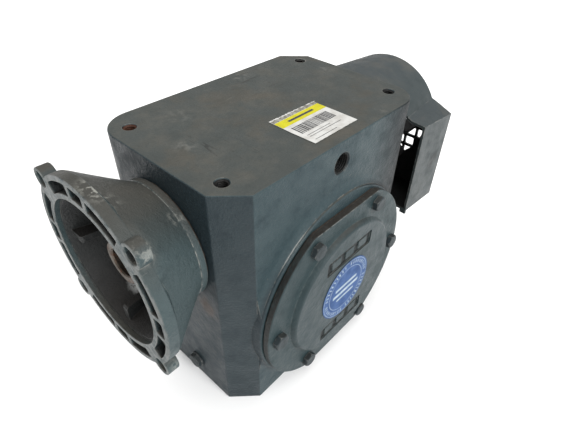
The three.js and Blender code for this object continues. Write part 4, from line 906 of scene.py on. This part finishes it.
def make_output_shaft():
    P = fil([(0, -85), (20, -85, 1), (20, -62.5), (22.5, -62.5, 0.4), (22.5, 62.5, 0.4), (20, 62.5), (20, 99), (SHAFT_R, 100), (SHAFT_R, SHAFT_END - 1.6, 0.4), (SHAFT_R - 1.6, SHAFT_END, 0.4), (0, SHAFT_END)], 3)
    s = lathe(P, "Y", 0, ZO, 128)
    k1 = box(-5 - GAP, 5 + GAP, -22.3, 22.3, ZO + 17.5, ZO + 24)
    y0 = 108.0
    slot = [(4.3 * math.cos(t), y0 + 4.3 + 4.3 * math.sin(t)) for t in [math.pi + math.pi * i / 16 for i in range(17)]] + [(4.3, SHAFT_END + 2), (-4.3, SHAFT_END + 2)]
    k2 = prism(slot, ZO + SHAFT_R - 4.2, ZO + SHAFT_R + 3, "Z")
    c = lathe([(0, SHAFT_END - 9), (2.6, SHAFT_END - 6), (2.6, SHAFT_END - 3.2), (5.2, SHAFT_END + 0.5), (0, SHAFT_END + 0.5)], "Y", 0, ZO, 40)
    s = cut(s, k1, k2, c)
    finish_piece(s, "output_shaft_turned", STEEL, "machined_steel", "output", "output_shaft")
    y1 = SHAFT_END - 3
    kk = [(4.0 * math.cos(t), y0 + 4.4 + 4.0 * math.sin(t)) for t in [math.pi + math.pi * i / 16 for i in range(17)]] + [(4.0, y1), (-4.0, y1)]
    kp = prism(kk, ZO + SHAFT_R - 3.9, ZO + SHAFT_R + 3.9, "Z", 0.3, 0.4)
    finish_piece(kp, "output_key", STEEL, "machined_steel", "output", "output_shaft_key")


make_output_shaft()
ws = frame["nodes"]["worm_shaft"]
ws.data.materials.clear()
ws.data.materials.append(QUILL)

# ------------------------------------------------------------------ label and sticker
def flat(poly, z0, z1, name, mat, slot, *nodes):
    return finish_piece(prism(poly, z0, z1, "Z"), name, mat, slot, "case", *nodes)


def ragged(x0, y0, x1, y1, n, amp):
    out = []
    for i in range(n + 1):
        t = i / n
        out.append((x0 + (x1 - x0) * t, y0 + (y1 - y0) * t + (rnd.uniform(-amp, amp) if 0 < i < n else 0)))
    return out


lab = ragged(-18.6, -62.2, 32.2, -62.4, 26, 0.16) + [(32.4, -40), (32.4, -19.5)] + ragged(34.2, -17.6, -19.0, -16.8, 40, 0.55) + [(-19.2, -40)]
flat(lab, HZ + 0.3, HZ + 0.5, "label_sheet", PAPER, "label_paper", "top_label")
zt = HZ + 0.5
flat([(-18.9, -22.0)] + ragged(-18.6, -18.4, 33.0, -18.2, 44, 0.7) + [(32.3, -22.0)], zt, zt + 0.03, "label_torn_strip", DIRTY, "label_paper")
flat([(-18.9, -31.8), (32.2, -31.6), (32.3, -22.3), (-18.9, -22.4)], zt, zt + 0.04, "label_band", YELLOW, "label_paper")


def strips(name, mat, rects, z0, z1):
    verts, faces = [], []
    for x0, y0, x1, y1 in rects:
        n = len(verts)
        verts += [(x0, y0, z0), (x1, y0, z0), (x1, y1, z0), (x0, y1, z0), (x0, y0, z1), (x1, y0, z1), (x1, y1, z1), (x0, y1, z1)]
        faces += [[n, n + 3, n + 2, n + 1], [n + 4, n + 5, n + 6, n + 7], [n, n + 1, n + 5, n + 4], [n + 1, n + 2, n + 6, n + 5], [n + 2, n + 3, n + 7, n + 6], [n + 3, n, n + 4, n + 7]]
    return finish_piece(obj("t", verts, faces), name, mat, "label_paper", "case")


rects, x = [], -14.6
while x < 26.4:
    w = rnd.choice((0.5, 0.7, 1.0, 1.4))
    rects.append((x, -47.0, min(x + w, 27), -35.6))
    x += w + rnd.choice((0.45, 0.6, 0.9))
strips("label_code_block", INK, rects, zt, zt + 0.03)
rects = [(-14 + 0.2 * i, -51.2 - 2.6 * j, -14 + rnd.uniform(22, 40), -50.7 - 2.6 * j) for i, j in ((0, 0), (1, 1), (0, 3))] + [(-8, -28.2, 21, -25.8)]
strips("label_rules", INK, rects, zt + 0.04, zt + 0.06)

y2 = -(PAD_Y + 1.2 + COVER_T + BOSS_T)
st = lathe(fil([(0, y2 - 0.5), (32.6, y2 - 0.5, 0.1), (32.6, y2 - 0.3), (0, y2 - 0.3)], 2), "Y", 0, ZO, 144)
finish_piece(st, "sticker_disc", BLUE, "label_blue", "case", "cover_sticker")


def on_sticker(polys, name, mat):
    verts, faces = [], []
    for p in polys:
        n, m = len(verts), len(p)
        verts += [(q[0], y2 - 0.5, q[1]) for q in p] + [(q[0], y2 - 0.53, q[1]) for q in p]
        faces += [[n + i for i in range(m)], [n + m + i for i in range(m)][::-1]] + [[n + i, n + m + i, n + m + (i + 1) % m, n + (i + 1) % m] for i in range(m)]
    return finish_piece(obj("t", verts, faces), name, mat, "label_blue", "case")


polys = []
for k in range(44):
    if k % 11 in (0,):
        continue
    a = 360 / 44 * k
    w = 2.1 + 1.1 * ((k * 7) % 3) / 2
    polys.append(arc(0, ZO, 29.6, a, a + w, 3) + arc(0, ZO, 26.2, a + w, a, 3))
for r in (31.4, 23.9):
    polys += [arc(0, ZO, r, a, a + 88.5, 24) + arc(0, ZO, r - 0.5, a + 88.5, a, 24) for a in (0, 90, 180, 270)]
for dz, w, h in ((5.5, 15.5, 3.2), (-1.5, 18.5, 3.6), (-8.5, 12.5, 2.4)):
    polys.append(fil([(-w, ZO + dz - h / 2, 0.8), (w, ZO + dz - h / 2, 0.8), (w, ZO + dz + h / 2, 0.8), (-w, ZO + dz + h / 2, 0.8)], 3))
on_sticker(polys, "sticker_marks", WHITEINK)

# ------------------------------------------------------------------ camera, floor, light
a, e, r = math.radians(-49.008), math.radians(39.543), math.radians(1.74)
back = Vector((math.sin(a) * math.cos(e), -math.cos(a) * math.cos(e), math.sin(e)))
fwd = -back
right = fwd.cross(Vector((0, 0, 1))).normalized()
up = right.cross(fwd)
R = (math.cos(r) * right + math.sin(r) * up, -math.sin(r) * right + math.cos(r) * up, back)
cam = bpy.data.objects.new("camera", bpy.data.cameras.new("camera"))
coll.objects.link(cam)
mx = Matrix([[R[0][i], R[1][i], R[2][i]] for i in range(3)]).to_4x4()
mx.translation = Vector((-0.2359, -0.2281, 0.3903))
cam.matrix_world = mx
cam.data.lens = 27.588
cam.data.sensor_width = 36
cam.data.sensor_fit = "HORIZONTAL"
cam.data.clip_start = 0.01
scene.camera = cam

fm = Mat("floor")
fn = fm.noise(3, 3, 0.5)
fm.surface(fm.mix(fm.ramp(fn, 0.3, 0.7), (0.93, 0.93, 0.93, 1), (0.95, 0.95, 0.95, 1)), 0.9, 0.0, (), 0, 0.1)
fl = obj("floor", [(-40, -40, -0.0005), (40, -40, -0.0005), (40, 40, -0.0005), (-40, 40, -0.0005)], [[0, 1, 2, 3]])
fl.data.materials.append(fm.m)

w = bpy.data.worlds.new("w")
scene.world = w
scene.view_settings.view_transform = "Standard"
w.use_nodes = True
w.node_tree.nodes["Background"].inputs[0].default_value = (1, 1, 1, 1)
w.node_tree.nodes["Background"].inputs[1].default_value = 0.60


def sun(name, loc, strength, angle, col=(1, 1, 1)):
    """Soft studio light from far off, aimed at the part from loc."""
    l = bpy.data.lights.new(name, "SUN")
    l.energy, l.angle, l.color = strength, angle, col
    o = bpy.data.objects.new(name, l)
    coll.objects.link(o)
    o.location = loc
    o.rotation_euler = Vector(loc).to_track_quat("Z", "Y").to_euler()
    return o


sun("key", (-0.10, -1.30, 1.05), 2.75, 0.55, (1.0, 1.0, 1.0))
sun("top", (0.15, 0.25, 1.6), 1.5, 1.1, (1.0, 0.985, 0.96))

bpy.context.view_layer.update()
